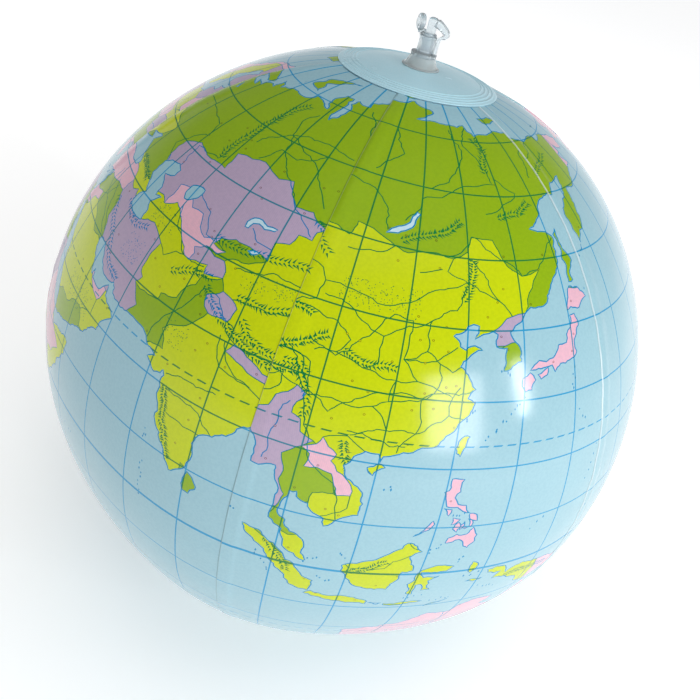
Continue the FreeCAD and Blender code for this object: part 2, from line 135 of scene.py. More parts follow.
NORTH_AMERICA = """
-168 65.6, -162 67, -166.5 68.4, -156.5 71.3, -141 69.7, -128 70, -115 68.5, -108 68,
-95 68, -94 72, -88 68.5, -82 69.5, -81.5 67.5, -87 65, -94 61, -94.5 58.8, -92.5 57,
-85 55.3, -82.3 55, -82 52.9, -79 51.3, -79 54.5, -76.6 56.5, -77.5 62.4, -70 61, -69.5 59,
-65 60.2, -62 57.5, -57 54.5, -56 52, -60 50.2, -66.5 50.2, -70 47, -65 48.8, -64.5 46.2,
-61 45.3, -65.5 43.5, -67 44.9, -70.5 43.3, -70 41.7, -74 40.6, -76 36.9, -75.6 35.3,
-78 33.9, -81.3 31.5, -80 26.8, -80.4 25.3, -81.8 26.1, -82.7 28, -84 30, -89 30.3,
-91 29.2, -94 29.6, -97.3 27.5, -97.8 22.4, -96.2 19.2, -94.5 18.2, -91 18.7, -90.5 21,
-87 21.5, -88.2 17, -88.6 15.8, -83.3 15, -83.6 11, -81.5 8.9, -77.3 8.6, -77.5 7.5,
-80 7.5, -83 8.4, -85.8 10.5, -87.6 13, -92 14.4, -94.5 16.2, -100 17, -105.5 20.3,
-106 23, -109.4 26, -113 31.2, -114.7 31.7, -111 25.5, -109.6 23, -112 26, -115 28,
-117.2 32.6, -120.6 34.5, -122.5 37.5, -124.2 40.4, -124 46.3, -122.8 49, -127.5 51,
-130.3 54.5, -134.5 58, -139.5 59.6, -146 60.8, -151.5 59.5, -154 58.5, -158.5 56,
-164.5 54.6, -158 58.5, -162 59.5, -165.3 61.5, -161 64.3, -166.3 64.5"""

SOUTH_AMERICA = """
-77.3 8.6, -75.5 10.7, -71.7 12.4, -71.7 10.9, -68 10.8, -62 10.7, -60 8.5, -57 6, -52 4.8,
-50 1, -48.5 -0.8, -44.3 -2.7, -38.5 -3.7, -35.2 -5.5, -34.9 -8, -37 -11, -39 -13.5,
-39 -18, -41 -22, -46 -24, -48.5 -26, -49 -28.7, -52.3 -32.5, -55 -34.9, -58.4 -34,
-57 -36.5, -58 -38.3, -62.2 -39, -65 -41, -63.7 -42.5, -65.4 -45, -67.5 -46, -65.8 -47.8,
-69 -51.5, -68.3 -53, -65.3 -54.8, -70 -55.3, -74.5 -52, -75.5 -47.5, -73.5 -42,
-73.6 -37.5, -71.5 -33, -71.4 -29, -70.3 -20, -71.5 -17.5, -76.3 -14, -79.5 -8, -81.3 -4.7,
-80 -2.8, -80.9 -1, -79 1.5, -77.5 4, -77.5 7.5"""

AUSTRALIA = """
113.7 -22.5, 114.2 -26.3, 115.7 -32, 115 -34.3, 118 -35, 123.5 -33.9, 129 -31.7, 131.5 -31.4,
135 -34.6, 137.8 -33, 138 -35.6, 140.5 -38, 143.5 -38.8, 146.3 -39, 149.9 -37.4,
151.3 -33.5, 153.5 -28.5, 153 -25, 149.5 -22, 146.2 -18.8, 145.4 -15, 142.6 -10.8,
141.6 -14, 140.8 -17.5, 137 -16, 135.6 -14.8, 136.8 -12.2, 132.5 -11.3, 130.5 -12.6,
129.3 -15, 126 -14, 123.5 -17, 122.2 -18.2, 119 -20, 116.5 -20.8"""

ANTARCTICA = """
-180 -78, -160 -77.5, -130 -74, -100 -72.5, -75 -73, -68 -67, -60 -63.8, -62 -68,
-62 -75, -40 -78, -20 -74, 0 -70, 20 -70, 45 -67.5, 70 -69.5, 90 -66.8, 115 -66.5,
140 -66.8, 160 -70, 168 -73, 165 -78, 180 -78, 180 -86, -180 -86"""

ISLANDS = {
    "greenland": """-73 78.3, -68 76, -60 76, -54.5 72.5, -51 69.5, -53.5 66.5, -51 63.5,
        -44.5 60, -41.5 63, -37 65.5, -31 68, -23 70.2, -22 73, -19 76.5, -18 79.5,
        -20 83, -35 83, -60 82, -65 80""",
    "baffin": """-80.5 73.7, -76 72.8, -68 70.3, -62 66.8, -66 62, -71.5 62.8, -73 65.5,
        -73.5 68, -79 70, -89 71, -90 73.5""",
    "victoria": "-117 69.5, -105 68.8, -101.5 70, -105 73, -115 73, -124.5 74, -125 71.5",
    "ellesmere": "-90 76.5, -79 76.3, -70 79, -62 82.5, -90 82",
    "newfoundland": "-59 47.7, -53 46.7, -53.5 49, -55.8 51.5",
    "cuba": "-84.9 21.9, -80.5 23.2, -74.3 20.2, -77.5 19.9, -78 21, -82 22.4",
    "hispaniola": "-74.3 18.4, -72.8 19.9, -68.4 18.6, -71.5 17.7",
    "britain": """-5.5 50.1, 1.3 51.2, 1.7 52.7, 0.2 53, -1.5 55, -2 57.6, -3.2 58.6, -5 58.5,
        -5.5 56, -3 54.8, -4.5 53.2, -5 51.8, -3 51.3""",
    "ireland": "-10 52, -6.3 52.2, -6 54.5, -8 55.3, -10 53.8",
    "iceland": "-24 65.4, -22.7 66.4, -16 66.5, -13.6 65, -18.5 63.4, -22.6 63.9",
    "svalbard": "11 79, 16.5 76.6, 25 77.5, 27 80, 17 80.2",
    "sardinia": "8.2 39, 9.7 39.2, 9.4 43, 8.6 42, 8.2 40.8",
    "sicily": "12.5 37.8, 15.5 38.2, 15.1 36.7",
    "crete": "23.6 35.4, 26.2 35.2, 24.7 34.9",
    "cyprus": "32.3 34.8, 34.5 35.6, 33.9 34.9",
    "madagascar": "44 -25, 43.3 -22, 44.4 -16.3, 49.3 -12.1, 50.4 -15.6, 47.2 -25",
    "ceylon": "79.8 8.2, 80.2 9.7, 81.8 7.4, 81 6.1, 80.1 6.2",
    "sumatra": """95.3 5.6, 97.5 5.2, 100.3 2.7, 103.5 -1, 105.9 -3.1, 105.7 -5.9, 104.4 -5.8,
        102.2 -3.8, 100.4 -0.9, 98.7 1.7, 97 3.2""",
    "java": """105.2 -6.8, 106.1 -5.9, 108.6 -6.7, 110.9 -6.4, 112.7 -7, 114.4 -7.8,
        114.3 -8.7, 110.5 -8.1, 106.5 -7.4""",
    "bali": "114.6 -8.2, 116.6 -8.3, 116 -8.9",
    "flores": "117 -8.5, 119 -8.4, 122.8 -8.2, 120 -8.9, 117 -9",
    "timor": "123.6 -10.3, 125 -9.2, 127 -8.4, 126 -9.2",
    "borneo": """109 1.5, 111.4 2.6, 113.2 3.3, 115.2 5.2, 116.8 7, 119.2 5.2, 117.7 4,
        118.9 0.9, 117.5 0.6, 116.5 -2.5, 116.2 -4, 114.6 -4.1, 111.8 -3.4, 110.1 -1.5,
        109.1 0.2""",
    "celebes": """119.8 0.2, 120.9 1.3, 124.8 1.5, 124 0.4, 120.3 0.4, 120.9 -1, 123.3 -0.8,
        121.9 -1.9, 122.8 -4.4, 121.5 -4.6, 121 -2.8, 120.3 -3, 120.4 -5.6, 119.5 -5.4,
        119 -2.7""",
    "new_guinea": """131 -0.9, 134 -0.8, 135 -3.2, 137.8 -1.5, 141 -2.6, 145 -4.2,
        147.8 -6.1, 147 -6.8, 150.8 -10.3, 147.2 -9.5, 144.5 -7.7, 142.5 -9.2, 139 -8.2,
        138 -5.8, 135.3 -4.4, 132.8 -4, 133.8 -2.3, 131.3 -1.7""",
    "halmahera": "127.5 0, 127.6 2, 128.6 1.5, 128 -0.8",
    "seram": "128 -3.2, 130.8 -3, 129.5 -3.6",
    "new_britain": "148.4 -5.6, 152.2 -4.3, 151 -6.2",
    "luzon": """119.8 16.3, 120.4 16.6, 120.5 18.5, 122.3 18.4, 122.1 16.4, 121.5 15.4,
        122.2 14.2, 123.4 14, 124.3 12.6, 123.2 12.9, 122.2 13.7, 120.6 13.9, 120.3 14.9""",
    "mindoro": "120.3 13.5, 121.5 13.3, 121.2 12.2",
    "samar": "124.3 12.5, 125.4 12.2, 125.7 11, 124.9 11.2",
    "leyte": "124.3 11.5, 125 11.2, 125.1 10.1, 124.7 10.1",
    "cebu": "123.9 11.1, 124 10.3, 123.4 9.5",
    "negros": "123.1 10.9, 123.5 10, 123.1 9, 122.4 9.7",
    "panay": "122 11.8, 123.1 11.5, 122.6 10.7, 122 10.5",
    "bohol": "123.8 9.9, 124.6 9.9, 124.2 9.6",
    "palawan": "117.1 8.3, 119.3 11.3, 119.6 10.7, 118 8.9",
    "mindanao": """122 6.9, 122.2 7.9, 123.3 8.6, 124.8 8.5, 125.5 9.8, 126.4 8.2, 126.4 6.9,
        125.6 5.6, 124.9 6, 123.9 7.5""",
    "taiwan": "120.1 23.2, 121.1 25.1, 121.9 25, 120.9 22",
    "hainan": "108.7 19.3, 110.1 20.1, 111 19.6, 109.6 18.2",
    "kyushu": "129.7 33.2, 131 33.9, 132 32.8, 131.3 31.4, 130.2 31.2",
    "shikoku": "132.4 33.5, 134.4 34.3, 134.2 33.3, 133 32.8",
    "honshu": """131 34.2, 132.7 35.5, 135.5 35.6, 136.8 37.3, 138.6 37.4, 140 39.5,
        140.3 41.2, 141.5 41.3, 142 39.5, 140.9 38, 140.8 35.8, 139 34.8, 137 34.6,
        135.8 33.5, 135.2 34.6, 133 34.3""",
    "hokkaido": "140 42, 140.4 43.3, 141.7 45.4, 145.3 43.8, 145.6 43.3, 143.2 42, 141 42.4",
    "sakhalin": """142 46, 142 50, 141.8 53.4, 143 54.3, 143.2 51, 144.6 49, 143 47.5,
        143.3 46.2""",
    "kuril": "147 44.4, 148.8 45.4, 148 44.6",
    "paramushir": "155.2 50, 156.2 50.9, 156 50.2",
    "novaya_zemlya": "51.6 71.5, 57.5 70.7, 55.8 73, 61 75.3, 68.5 76.8, 61 76.2, 55 75, 53 73",
    "severnaya": "95 79, 99.5 78.1, 105 78.5, 100 81",
    "new_siberia": "137 75.5, 144 75.8, 150 75.1, 140 74.1",
    "wrangel": "178.5 71.3, 181.5 71.4, 180 70.9",
    "tasmania": "144.7 -40.8, 148.3 -40.9, 147.5 -43.3, 146 -43.5",
    "north_island": "172.8 -34.5, 175.5 -36.8, 178.5 -37.7, 176.5 -41, 174.7 -41.3, 173.8 -39.3, 174.7 -37",
    "south_island": "172.7 -40.5, 174.3 -41.7, 172.8 -43.8, 170.7 -45.9, 168.3 -46.6, 166.5 -46, 170 -43.2",
}

LAKES = {
    "black_sea": """29 41.2, 28 43, 30.8 46.4, 33 46, 32.6 45.4, 33.6 44.5, 36.4 45.2,
        35 46.2, 38 47, 39.2 47, 37.6 45.4, 39.7 43.5, 41.6 42, 41 41.1, 38 41, 35 42,
        32 41.6""",
    "caspian": """47.6 45.6, 49 46.5, 51.5 47, 53.1 46.4, 53 45.2, 51.2 44.5, 50.5 44.4,
        52.7 42.6, 52.8 41.2, 54.5 41.5, 52.8 40, 53.8 38.8, 53.9 36.9, 51 36.8, 49 37.6,
        49 39.3, 50.2 40.4, 49.2 41.2, 47.5 43""",
    "aral": "58.4 44.5, 58.6 46.1, 60 46.6, 61.7 46.6, 61.5 45, 60.2 44, 59 43.8",
    "balkhash": """73.5 45.2, 73.4 46, 74.2 46.9, 75.8 47.1, 77.2 46.6, 79.2 46.7, 78.8 46.3, 77 46,
        75.6 46.4, 74.6 46.1, 74.2 45.2""",
    "baikal": "103.8 51.6, 105.8 52.9, 108 53.9, 109.2 55.7, 109.9 55.4, 108.6 53.2, 106 51.9",
    "issyk_kul": "76.3 42.4, 77.4 42.8, 78.4 42.7, 77.3 42.1",
    "ladoga": "30.9 60.9, 31 61.6, 32.9 61, 32.3 60.2",
    "onega": "34.4 62.5, 36.2 61.2, 35.6 60.9",
    "victoria_lake": "31.8 -1, 33.9 0.3, 34 -1.5, 32.6 -2.7",
    "superior": "-92 46.8, -88.5 48.8, -84.8 46.8, -88 47.3",
    "michigan": "-87.8 42, -87.6 44.5, -85 46, -86.4 43.5",
    "huron": "-84.3 46, -80.2 45, -82.3 43.2",
    "great_bear": "-124 65.5, -121 67, -119 65.8",
    "great_slave": "-116.5 61.2, -112 62.6, -110 62.8, -113 61.1",
    "winnipeg": "-98.8 53.8, -97 51.5, -96.5 50.5",
}

INLAND_SEAS = ("black_sea", "caspian", "aral")

# Tinted countries.  A later one lies over an earlier one and its border line wins.
COUNTRIES = [
    ("pink", """2 61, 4 57.5, 8 57, 11.5 59, 12.5 61.5, 12.2 63.5, 14.5 65, 16 68, 20.5 69,
        25.5 69, 29 70, 32 71.5, 20 72.5, 8 66"""),
    ("yellow", """11.5 59, 12.5 61.5, 12.2 63.5, 14.5 65, 16 68, 20.5 69, 24 66, 22 64,
        19.5 60, 17 55, 12 55"""),
    ("lilac", """20.5 69, 25.5 69, 29 70, 28.5 68, 30 67.5, 29 66.5, 30 64, 31.5 62.5,
        28 60, 20 59, 21 65, 24 66"""),
    ("yellow", "-10 36, -10 44, -2 43.5, 3.5 42.4, 3 40, -5 35"),
    ("pink", "-2 43.4, 3.5 42.4, 6 42.5, 7.5 44, 7 46, 8 49, 2.5 51.3, -6 49"),
    ("lilac", "7 46, 8 49, 6 51, 7 54, 14.3 54.5, 15 51, 12 50, 13.5 48.5, 10.5 47.5"),
    ("green", "7.5 44, 7 46, 10.5 47.5, 13.5 46.6, 14 45, 19 40, 16 37, 12 36, 8 38"),
    ("yellow", "14.3 54.5, 15 51, 18.5 49.6, 22.5 49.2, 24 51, 23.5 53.8, 19.5 55"),
    ("pink", "10.5 47.5, 13.5 48.5, 12 50, 15 51, 18.5 49.6, 22.5 49.2, 22.9 48, 21 46.2, "
             "16 45.8, 13.5 46.6"),
    ("lilac", "22.9 48, 26.5 48.2, 29.5 45.4, 28.7 43.7, 22.7 44, 21 46.2"),
    ("yellow", "22.5 49.2, 24 51, 30.5 51.4, 34 52.3, 40 49.6, 38.2 47, 35 46, 33 44, "
               "29.5 45.4, 26.5 48.2, 22.9 48"),
    ("green", "21 46.2, 22.7 44, 28.7 43.7, 28 41.9, 26 41.3, 21 40.9, 19 41, 13.5 45.5"),
    ("pink", "21 40.9, 26 41.3, 27 40, 24 35, 20 38"),
    ("pink", "23.5 53.8, 24 51, 30.5 51.4, 32 53.2, 30.8 55.6, 26.5 55.5"),
    ("lilac", "20.5 57, 20.8 54.4, 23.5 53.8, 26.5 55.5, 28 56.2, 27.5 59.7, 22 59.8"),
    ("pink", "25.5 35.5, 25.5 40.5, 28 41.9, 33 43, 38 42, 41.5 41.6, 43.5 41, 44.8 39.7, "
             "44.3 37.2, 42.3 37.2, 40 36.8, 36.7 36.6, 35.9 35.9, 30 35.4"),
    ("yellow", "39.8 43.5, 41.5 41.6, 43.5 41, 44.8 39.7, 46.5 38.9, 48 39.6, 48.9 38.4, "
               "51 40.3, 48.5 41.9, 46.5 41.9, 44 42.6"),
    ("green", "36.7 36.6, 40 36.8, 42.3 37.2, 41 34.4, 38.8 33.4, 36 32.6, 35 33.2"),
    ("pink", "34 29.3, 34.5 33.2, 36 32.6, 38.8 33.4, 39.2 32.1, 37 31.5, 36 29.3"),
    ("green", "42.3 37.2, 44.3 37.2, 45.5 35.8, 46 33, 47.7 31, 48.5 29.6, 47 29.6, "
              "44.7 29.2, 42 31.1, 39.2 32.1, 38.8 33.4, 41 34.4"),
    ("yellow", "34.5 28, 36 29.3, 37 31.5, 39.2 32.1, 42 31.1, 44.7 29.2, 47 29.6, 49 28.5, "
               "51 25, 51.6 24.3, 55 22.7, 55 20, 52 19, 49 18.6, 47 17, 44 17.4, 42.7 16.4, "
               "40 17, 36 26"),
    ("pink", "50 26, 51.6 24.3, 55 22.7, 55.8 24.2, 56.3 26, 53 25"),
    ("yellow", "56.3 26, 55.8 24.2, 55 22.7, 55 20, 52 19, 53.1 16.6, 56 15.5, 61 22, 58 25"),
    ("green", "42.7 16.4, 44 17.4, 47 17, 49 18.6, 52 19, 53.1 16.6, 52 14, 45 12, 42 12.5"),
    ("lilac", "44.3 37.2, 44.8 39.7, 46.5 38.9, 48 39.6, 48.9 38.4, 50 37, 53.8 37, "
              "57.2 38.2, 59.3 37.5, 61.2 36.6, 60.6 34, 60.9 31.5, 61.7 31, 60.9 29.8, "
              "63.3 27.2, 61.6 24.8, 57 25, 54 25.6, 50 28.6, 48.5 29.6, 47.7 31, 46 33, "
              "45.5 35.8"),
    ("yellow", "52 41.7, 54.5 42.1, 56 41.3, 58.5 42.7, 60 42.2, 62 41, 64.5 38.9, 66.6 37.4, "
               "64.8 37.1, 63 35.5, 61.2 36.6, 59.3 37.5, 57.2 38.2, 53.8 37, 52 38"),
    ("pink", "56 41.3, 56 45, 58.6 45.6, 61 44.4, 62 43.5, 64.9 43.7, 66.1 41.9, 68 41, "
             "69 41.4, 71 42.2, 70.2 41, 73.1 40.8, 71.7 39.9, 69.3 40.2, 68.6 39.6, "
             "67.4 39.2, 68.1 38.4, 67.8 37.2, 66.6 37.4, 64.5 38.9, 62 41, 60 42.2, "
             "58.5 42.7"),
    ("lilac", "46.6 48.5, 47 50, 50.8 51.6, 55 50.8, 58.6 51, 61.4 50.9, 61 53.9, 65 54.4, "
              "68.2 55, 71 54.2, 73.5 53.6, 76.7 54.2, 80 50.8, 83.5 51, 87.3 49.1, "
              "85.7 48.4, 85.5 47.1, 83 47.2, 82.3 45.5, 79.9 44.9, 80.2 42.2, 75 42.9, "
              "73.5 43, 71 42.2, 69 41.4, 68 41, 66.1 41.9, 64.9 43.7, 62 43.5, 61 44.4, "
              "58.6 45.6, 56 45, 56 41.3, 54.5 42.1, 52 41.7, 50 44.5, 48 45.6"),
    ("green", "71 42.2, 73.5 43, 75 42.9, 80.2 42.2, 78.5 41.3, 76.5 40.5, 74.8 40.4, "
              "73.7 39.6, 71.7 39.5, 71.7 39.9, 73.1 40.8, 70.2 41"),
    ("lilac", "67.4 39.2, 68.6 39.6, 69.3 40.2, 71.7 39.5, 73.7 39.6, 74.8 38.4, 74.9 37.4, "
              "71.6 36.7, 71.4 38, 70.2 37.7, 67.8 37.2, 68.1 38.4"),
    ("yellow", "60.9 31.5, 60.6 34, 61.2 36.6, 63 35.5, 64.8 37.1, 66.6 37.4, 67.8 37.2, "
               "70.2 37.7, 71.4 38, 71.6 36.7, 74.9 37.4, 71.6 36.3, 71.3 34.8, 70 33.8, "
               "69.4 31.8, 66.5 31, 66.4 29.9, 62.5 29.4, 60.9 29.8, 61.7 31"),
    ("yellow", "67 23, 68.5 24.2, 71 24.4, 70.6 25.7, 69.6 27, 70.4 28, 73 29.2, 74.4 30.9, "
               "75.3 32.3, 78.5 32.4, 79 31.2, 81 30.2, 80.1 28.8, 84 27.4, 88 26.4, "
               "88.1 27.8, 90.3 27, 92 27.8, 94.5 29.3, 97.3 28.3, 95 26.2, 94.5 24.5, "
               "93.3 24, 92.9 22, 92.3 20.8, 88 20, 81 7, 76 7, 70 19"),
    ("green", "61.6 24.8, 63.3 27.2, 60.9 29.8, 62.5 29.4, 66.4 29.9, 66.5 31, 69.4 31.8, "
              "70 33.8, 71.3 34.8, 71.6 36.3, 74.9 37.4, 76 35.9, 73.8 34.5, 74.3 32.9, "
              "75.3 32.3, 74.4 30.9, 73 29.2, 70.4 28, 69.6 27, 70.6 25.7, 71 24.4, "
              "68.5 24.2, 67 23.5"),
    ("lilac", "73.8 34.5, 76 35.9, 77.8 35.5, 79.2 34.6, 78.9 33, 78.5 32.4, 75.3 32.3, "
              "74.3 32.9"),
    ("green", "79 5, 79 10.5, 80.5 10, 83 8, 82 5"),
    ("lilac", "80.1 28.8, 81 30.2, 84 29.1, 86 28, 88.1 27.8, 88 26.4, 84 27.4"),
    ("pink", "88.8 27.2, 90.3 28.2, 92 27.8, 92 26.8, 89.8 26.8"),
    ("green", "88.1 26.4, 89.8 26.2, 92.3 25.1, 91.3 23.8, 92.4 22, 92.3 20.8, 90 21, "
              "88.9 21.2, 88.6 24.2"),
    ("lilac", "92.3 20.8, 92.9 22, 93.3 24, 94.5 24.5, 95 26.2, 97.3 28.3, 98.7 27.5, "
              "97.6 24.5, 98.9 24, 99.3 22.3, 101.2 21.5, 100 20.4, 97.8 18.6, 98.6 16.1, "
              "98.3 14.7, 99.4 12.5, 98.8 10.2, 97 10, 93 15, 92 19"),
    ("yellow", "73.7 39.6, 74.8 40.4, 76.5 40.5, 78.5 41.3, 80.2 42.2, 79.9 44.9, 82.3 45.5, "
               "83 47.2, 85.5 47.1, 85.7 48.4, 87.3 49.1, 91 46.6, 90.9 45.2, 95.4 44.2, "
               "96.4 42.7, 101 42.6, 105 41.6, 110 42.6, 111.9 43.7, 114 44.9, 119.8 46.6, "
               "116 47.8, 117 49.7, 120 51, 120.8 53.2, 125.5 53, 127.5 49.8, 130.9 47.7, "
               "135 48.4, 131.9 45.2, 131.3 43.3, 130.6 42.4, 128 42, 126.9 41.7, 124.4 40, "
               "121 38, 124 37, 123 31, 123 27, 122.5 24, 120 21, 110 17.5, 107.5 21, "
               "105.3 23.3, 102.3 22.4, 101.7 21.2, 101.2 21.5, 99.3 22.3, 98.9 24, "
               "97.6 24.5, 98.7 27.5, 97.3 28.3, 94.5 29.3, 92 27.8, 90.3 28.2, 88.1 27.8, "
               "86 28, 84 29.1, 81 30.2, 79 31.2, 78.5 32.4, 78.9 33, 79.2 34.6, "
               "77.8 35.5, 76 35.9, 74.9 37.4, 74.8 38.4"),
    ("yellow", "87.3 49.1, 92.3 50.8, 97.5 49.8, 98.3 52, 102.2 51.3, 105 50.4, 108.5 49.4, "
               "114 50.2, 117 49.7, 116 47.8, 119.8 46.6, 114 44.9, 111.9 43.7, 110 42.6, "
               "105 41.6, 101 42.6, 96.4 42.7, 95.4 44.2, 90.9 45.2, 91 46.6"),
    ("lilac", "124.4 40, 126.9 41.7, 128 42, 130.6 42.4, 131 41, 129 38.4, 126.5 37.9, "
              "124 37.5, 124 39"),
    ("green", "126.5 37.9, 129 38.4, 131 37, 130 34, 125 33.8, 124.5 37"),
    ("pink", "128.5 30, 129 34, 132 36, 138 39.5, 139.4 45.8, 147 45, 147 42, 142 34, 131 30"),
    ("green", "98.8 10.2, 99.4 12.5, 98.3 14.7, 98.6 16.1, 97.8 18.6, 100 20.4, 101.2 19.6, "
              "100.9 17.6, 102.5 17.9, 104.5 17.4, 105.5 15.3, 105.3 14.4, 102.8 13.9, "
              "102.6 12.3, 101 11.5, 101 9, 102.3 6.2, 101.2 5.8, 99.7 6.8, 97.6 8"),
    ("yellow", "99.7 6.8, 101.2 5.8, 102.3 6.2, 105 4, 105 1.2, 103 0.8, 99 5"),
    ("pink", "100 20.4, 101.7 21.2, 102.3 22.4, 104.5 20.4, 104 19.3, 106.5 17, 107.6 15.3, "
             "107.5 14.5, 105.8 14.2, 105.5 15.3, 104.5 17.4, 102.5 17.9, 100.9 17.6, "
             "101.2 19.6"),
    ("yellow", "102.8 13.9, 105.3 14.4, 105.8 14.2, 107.5 14.5, 107.5 12.4, 105.9 11.2, "
               "104.4 10.3, 103 10, 102.6 12.3"),
    ("yellow", "102.3 22.4, 105.3 23.3, 108 21.5, 107.5 19, 110.5 15, 110 11, 105 8, "
               "104 9.5, 104.4 10.3, 105.9 11.2, 107.5 12.4, 107.5 14.5, 107.6 15.3, "
               "106.5 17, 104 19.3, 104.5 20.4"),
    ("pink", "116 8, 119 12, 119.5 19.5, 124 19, 127.5 10, 127 4.5, 121.5 5.5"),
    ("yellow", "94 7, 99 4, 103 0.6, 107 0, 108 4, 116.5 7.9, 120 5.5, 126 4, 129 3.5, "
               "131.5 1, 141 -1.5, 141 -10, 127 -11.5, 105 -9.5, 98 -1"),
    ("yellow", "109 2, 111 2.8, 116 7.6, 120 5, 117.6 4.2, 115.6 3, 114.8 1.4, 111.5 1, 110 1"),
    ("pink", "141 -1.5, 141 -9.4, 146 -11, 156 -12, 155 -4, 146 -2"),
    ("pink", "112 -21, 129 -10.5, 140 -12, 143 -10, 155 -24, 152 -45, 143 -45, 113 -37"),
    ("pink", "-10 32, -14 27.5, -8.6 27.5, -4 30, -1.5 32.2, -1.8 35.6, -6 37"),
    ("green", "-18 27.5, -8.6 27.5, -4.8 25, -6 15.6, -12 14.8, -18 16.5"),
    ("yellow", "-1.8 35.6, -1.5 32.2, -4 30, -8.6 27.5, -4.8 25, 3 19.2, 6 19.4, 12 23.4, "
               "9.5 30, 7.6 33.5, 8.5 38, 0 37"),
    ("lilac", "8.5 38, 7.6 33.5, 9.5 30, 12 23.4, 15 23, 24 19.6, 25 31.8, 18 33, 12 38"),
    ("green", "25 32.5, 25 22, 37 22, 35 29, 32.4 31.8, 30 32.5"),
    ("lilac", "25 22, 37 22, 39.5 18, 36.4 14.5, 34 11, 34 8.5, 28 8, 24 10, 22 13, 24 19.6"),
    ("pink", "39.5 18, 36.4 14.5, 34 11, 34 8.5, 36 4.5, 41.8 4, 45 5, 48 8, 43 11, 43 13"),
    ("yellow", "43 11, 48 8, 45 5, 41.8 4, 41 -2, 44 -2, 53 8, 52.5 12.5, 44 12"),
    ("pink", "3 19.2, 6 19.4, 12 23.4, 15 23, 15.5 17, 13.5 14, 4 13.5, 1 15"),
    ("green", "15 23, 24 19.6, 22 13, 22 11, 15.5 8, 14 12.5, 15.5 17"),
    ("lilac", "4 13.5, 13.5 14, 14 12.5, 11 7, 9 3.5, 4 5, 2.7 6, 2.8 9"),
    ("yellow", "-6 15.6, -4.8 25, 3 19.2, 4 15, 1 15, -4 12, -11 12.5, -12 14.8"),
    ("pink", "-18 16.5, -12 14.8, -11 12.5, -8 10, -8 3.5, -14 7"),
    ("green", "-8 10, -4 12, 1 15, 2.8 9, 2.7 4.5, -8 3.5"),
    ("yellow", "11 7, 15.5 8, 22 11, 27.5 5.5, 18.5 4, 16 -5, 11.5 -5, 8.5 0, 9 3.5"),
    ("green", "18.5 4, 27.5 5.5, 31 3.5, 29.5 -1, 29.5 -8, 30 -13, 26 -11.5, 22 -11, 19 -8, "
              "12 -6, 16 -5"),
    ("lilac", "31 3.5, 34 4.8, 41.8 4, 41.5 -2, 39 -4.8, 34 -1, 29.5 -1"),
    ("pink", "29.5 -1, 34 -1, 39 -4.8, 41 -10.8, 34.5 -11.5, 29.5 -8"),
    ("yellow", "12 -6, 19 -8, 22 -11, 22 -17.5, 11 -17.3, 12 -10"),
    ("lilac", "22 -11, 26 -11.5, 30 -13, 33 -9.5, 33.5 -14, 30 -15.8, 26 -17.9, 22 -17.5"),
    ("green", "41 -10.8, 34.5 -11.5, 33.5 -14, 33 -19, 31 -22.3, 32 -27, 36 -26, 42 -14"),
    ("pink", "11 -17.3, 22 -17.5, 25 -17.9, 20 -22, 20 -28.5, 16 -29, 13 -22"),
    ("green", "25 -17.9, 26 -17.9, 30 -15.8, 33 -19, 31 -22.3, 29.3 -22.2"),
    ("yellow", "20 -22, 25 -17.9, 29.3 -22.2, 25.5 -25.5, 20 -26.8"),
    ("lilac", "16 -29, 20 -28.5, 20 -26.8, 25.5 -25.5, 29.3 -22.2, 31 -22.3, 33 -27, "
              "28 -36, 17 -36"),
    ("pink", "-180 75, -180 50, -141 60, -141 75"),
    ("green", "-141 75, -141 60, -130 55, -125 49, -95 49, -83 46, -79 43, -75 45, -67 47.5, "
              "-66 43, -50 45, -58 60, -75 70, -60 84, -100 84"),
    ("yellow", "-126 49, -95 49, -83 46, -79 43, -75 45, -67 47.5, -66 44, -75 33, -79 24, "
               "-90 28, -97 25.9, -103 29, -106.5 31.8, -117 32.5, -128 40"),
    ("pink", "-118 32.5, -106.5 31.8, -103 29, -97 25.9, -94 20, -86 22, -88 18, -92 17, "
             "-92.3 14, -106 18, -118 28"),
    ("lilac", "-92.3 14, -92 17, -88 18, -82 16, -77.3 9, -77.3 7, -86 9"),
    ("pink", "-86 24, -74 24, -73 19.5, -73 17, -86 19"),
    ("lilac", "-73 19.5, -66 21, -66 17, -73 17"),
    ("pink", "-80 9, -72 13, -72.5 8, -67.5 6.2, -69.5 -1, -70 -4.2, -75 0, -78.8 1.4"),
    ("green", "-72 13, -72.5 8, -67.5 6.2, -64 4, -61 5, -59 9, -60 12"),
    ("lilac", "-59 9, -61 5, -59.8 2, -52 2.3, -50 5"),
    ("yellow", "-52 2.3, -59.8 2, -64 4, -67.5 2, -69.5 -1, -70 -4.2, -73.5 -7.5, -70 -11, "
               "-65 -10, -60 -14, -58 -20, -55.8 -22.3, -54 -25.5, -57.5 -30.2, -53 -34, "
               "-45 -27, -33 -8, -46 2"),
    ("lilac", "-70 -4.2, -75 0, -81 -4, -82 -8, -70.4 -18.5, -69 -15, -70 -11, -73.5 -7.5"),
    ("green", "-75 0, -78.8 1.4, -82 -1, -81 -4"),
    ("pink", "-70 -11, -65 -10, -60 -14, -58 -20, -62.5 -22, -67.8 -22.8, -69 -15"),
    ("green", "-58 -20, -62.5 -22, -58 -25, -54 -25.5, -55.8 -22.3"),
    ("green", "-70.4 -18.5, -67.8 -22.8, -70 -32, -72 -45, -69 -56, -78 -56, -76 -30"),
    ("pink", "-67.8 -22.8, -62.5 -22, -58 -25, -54 -25.5, -57.5 -30.2, -58.2 -34, -54 -40, "
             "-64 -57, -69 -56, -68.5 -52, -72 -50, -72 -45, -70 -32"),
    ("lilac", "-58.2 -34, -57.5 -30.2, -53 -34, -52 -36"),
]

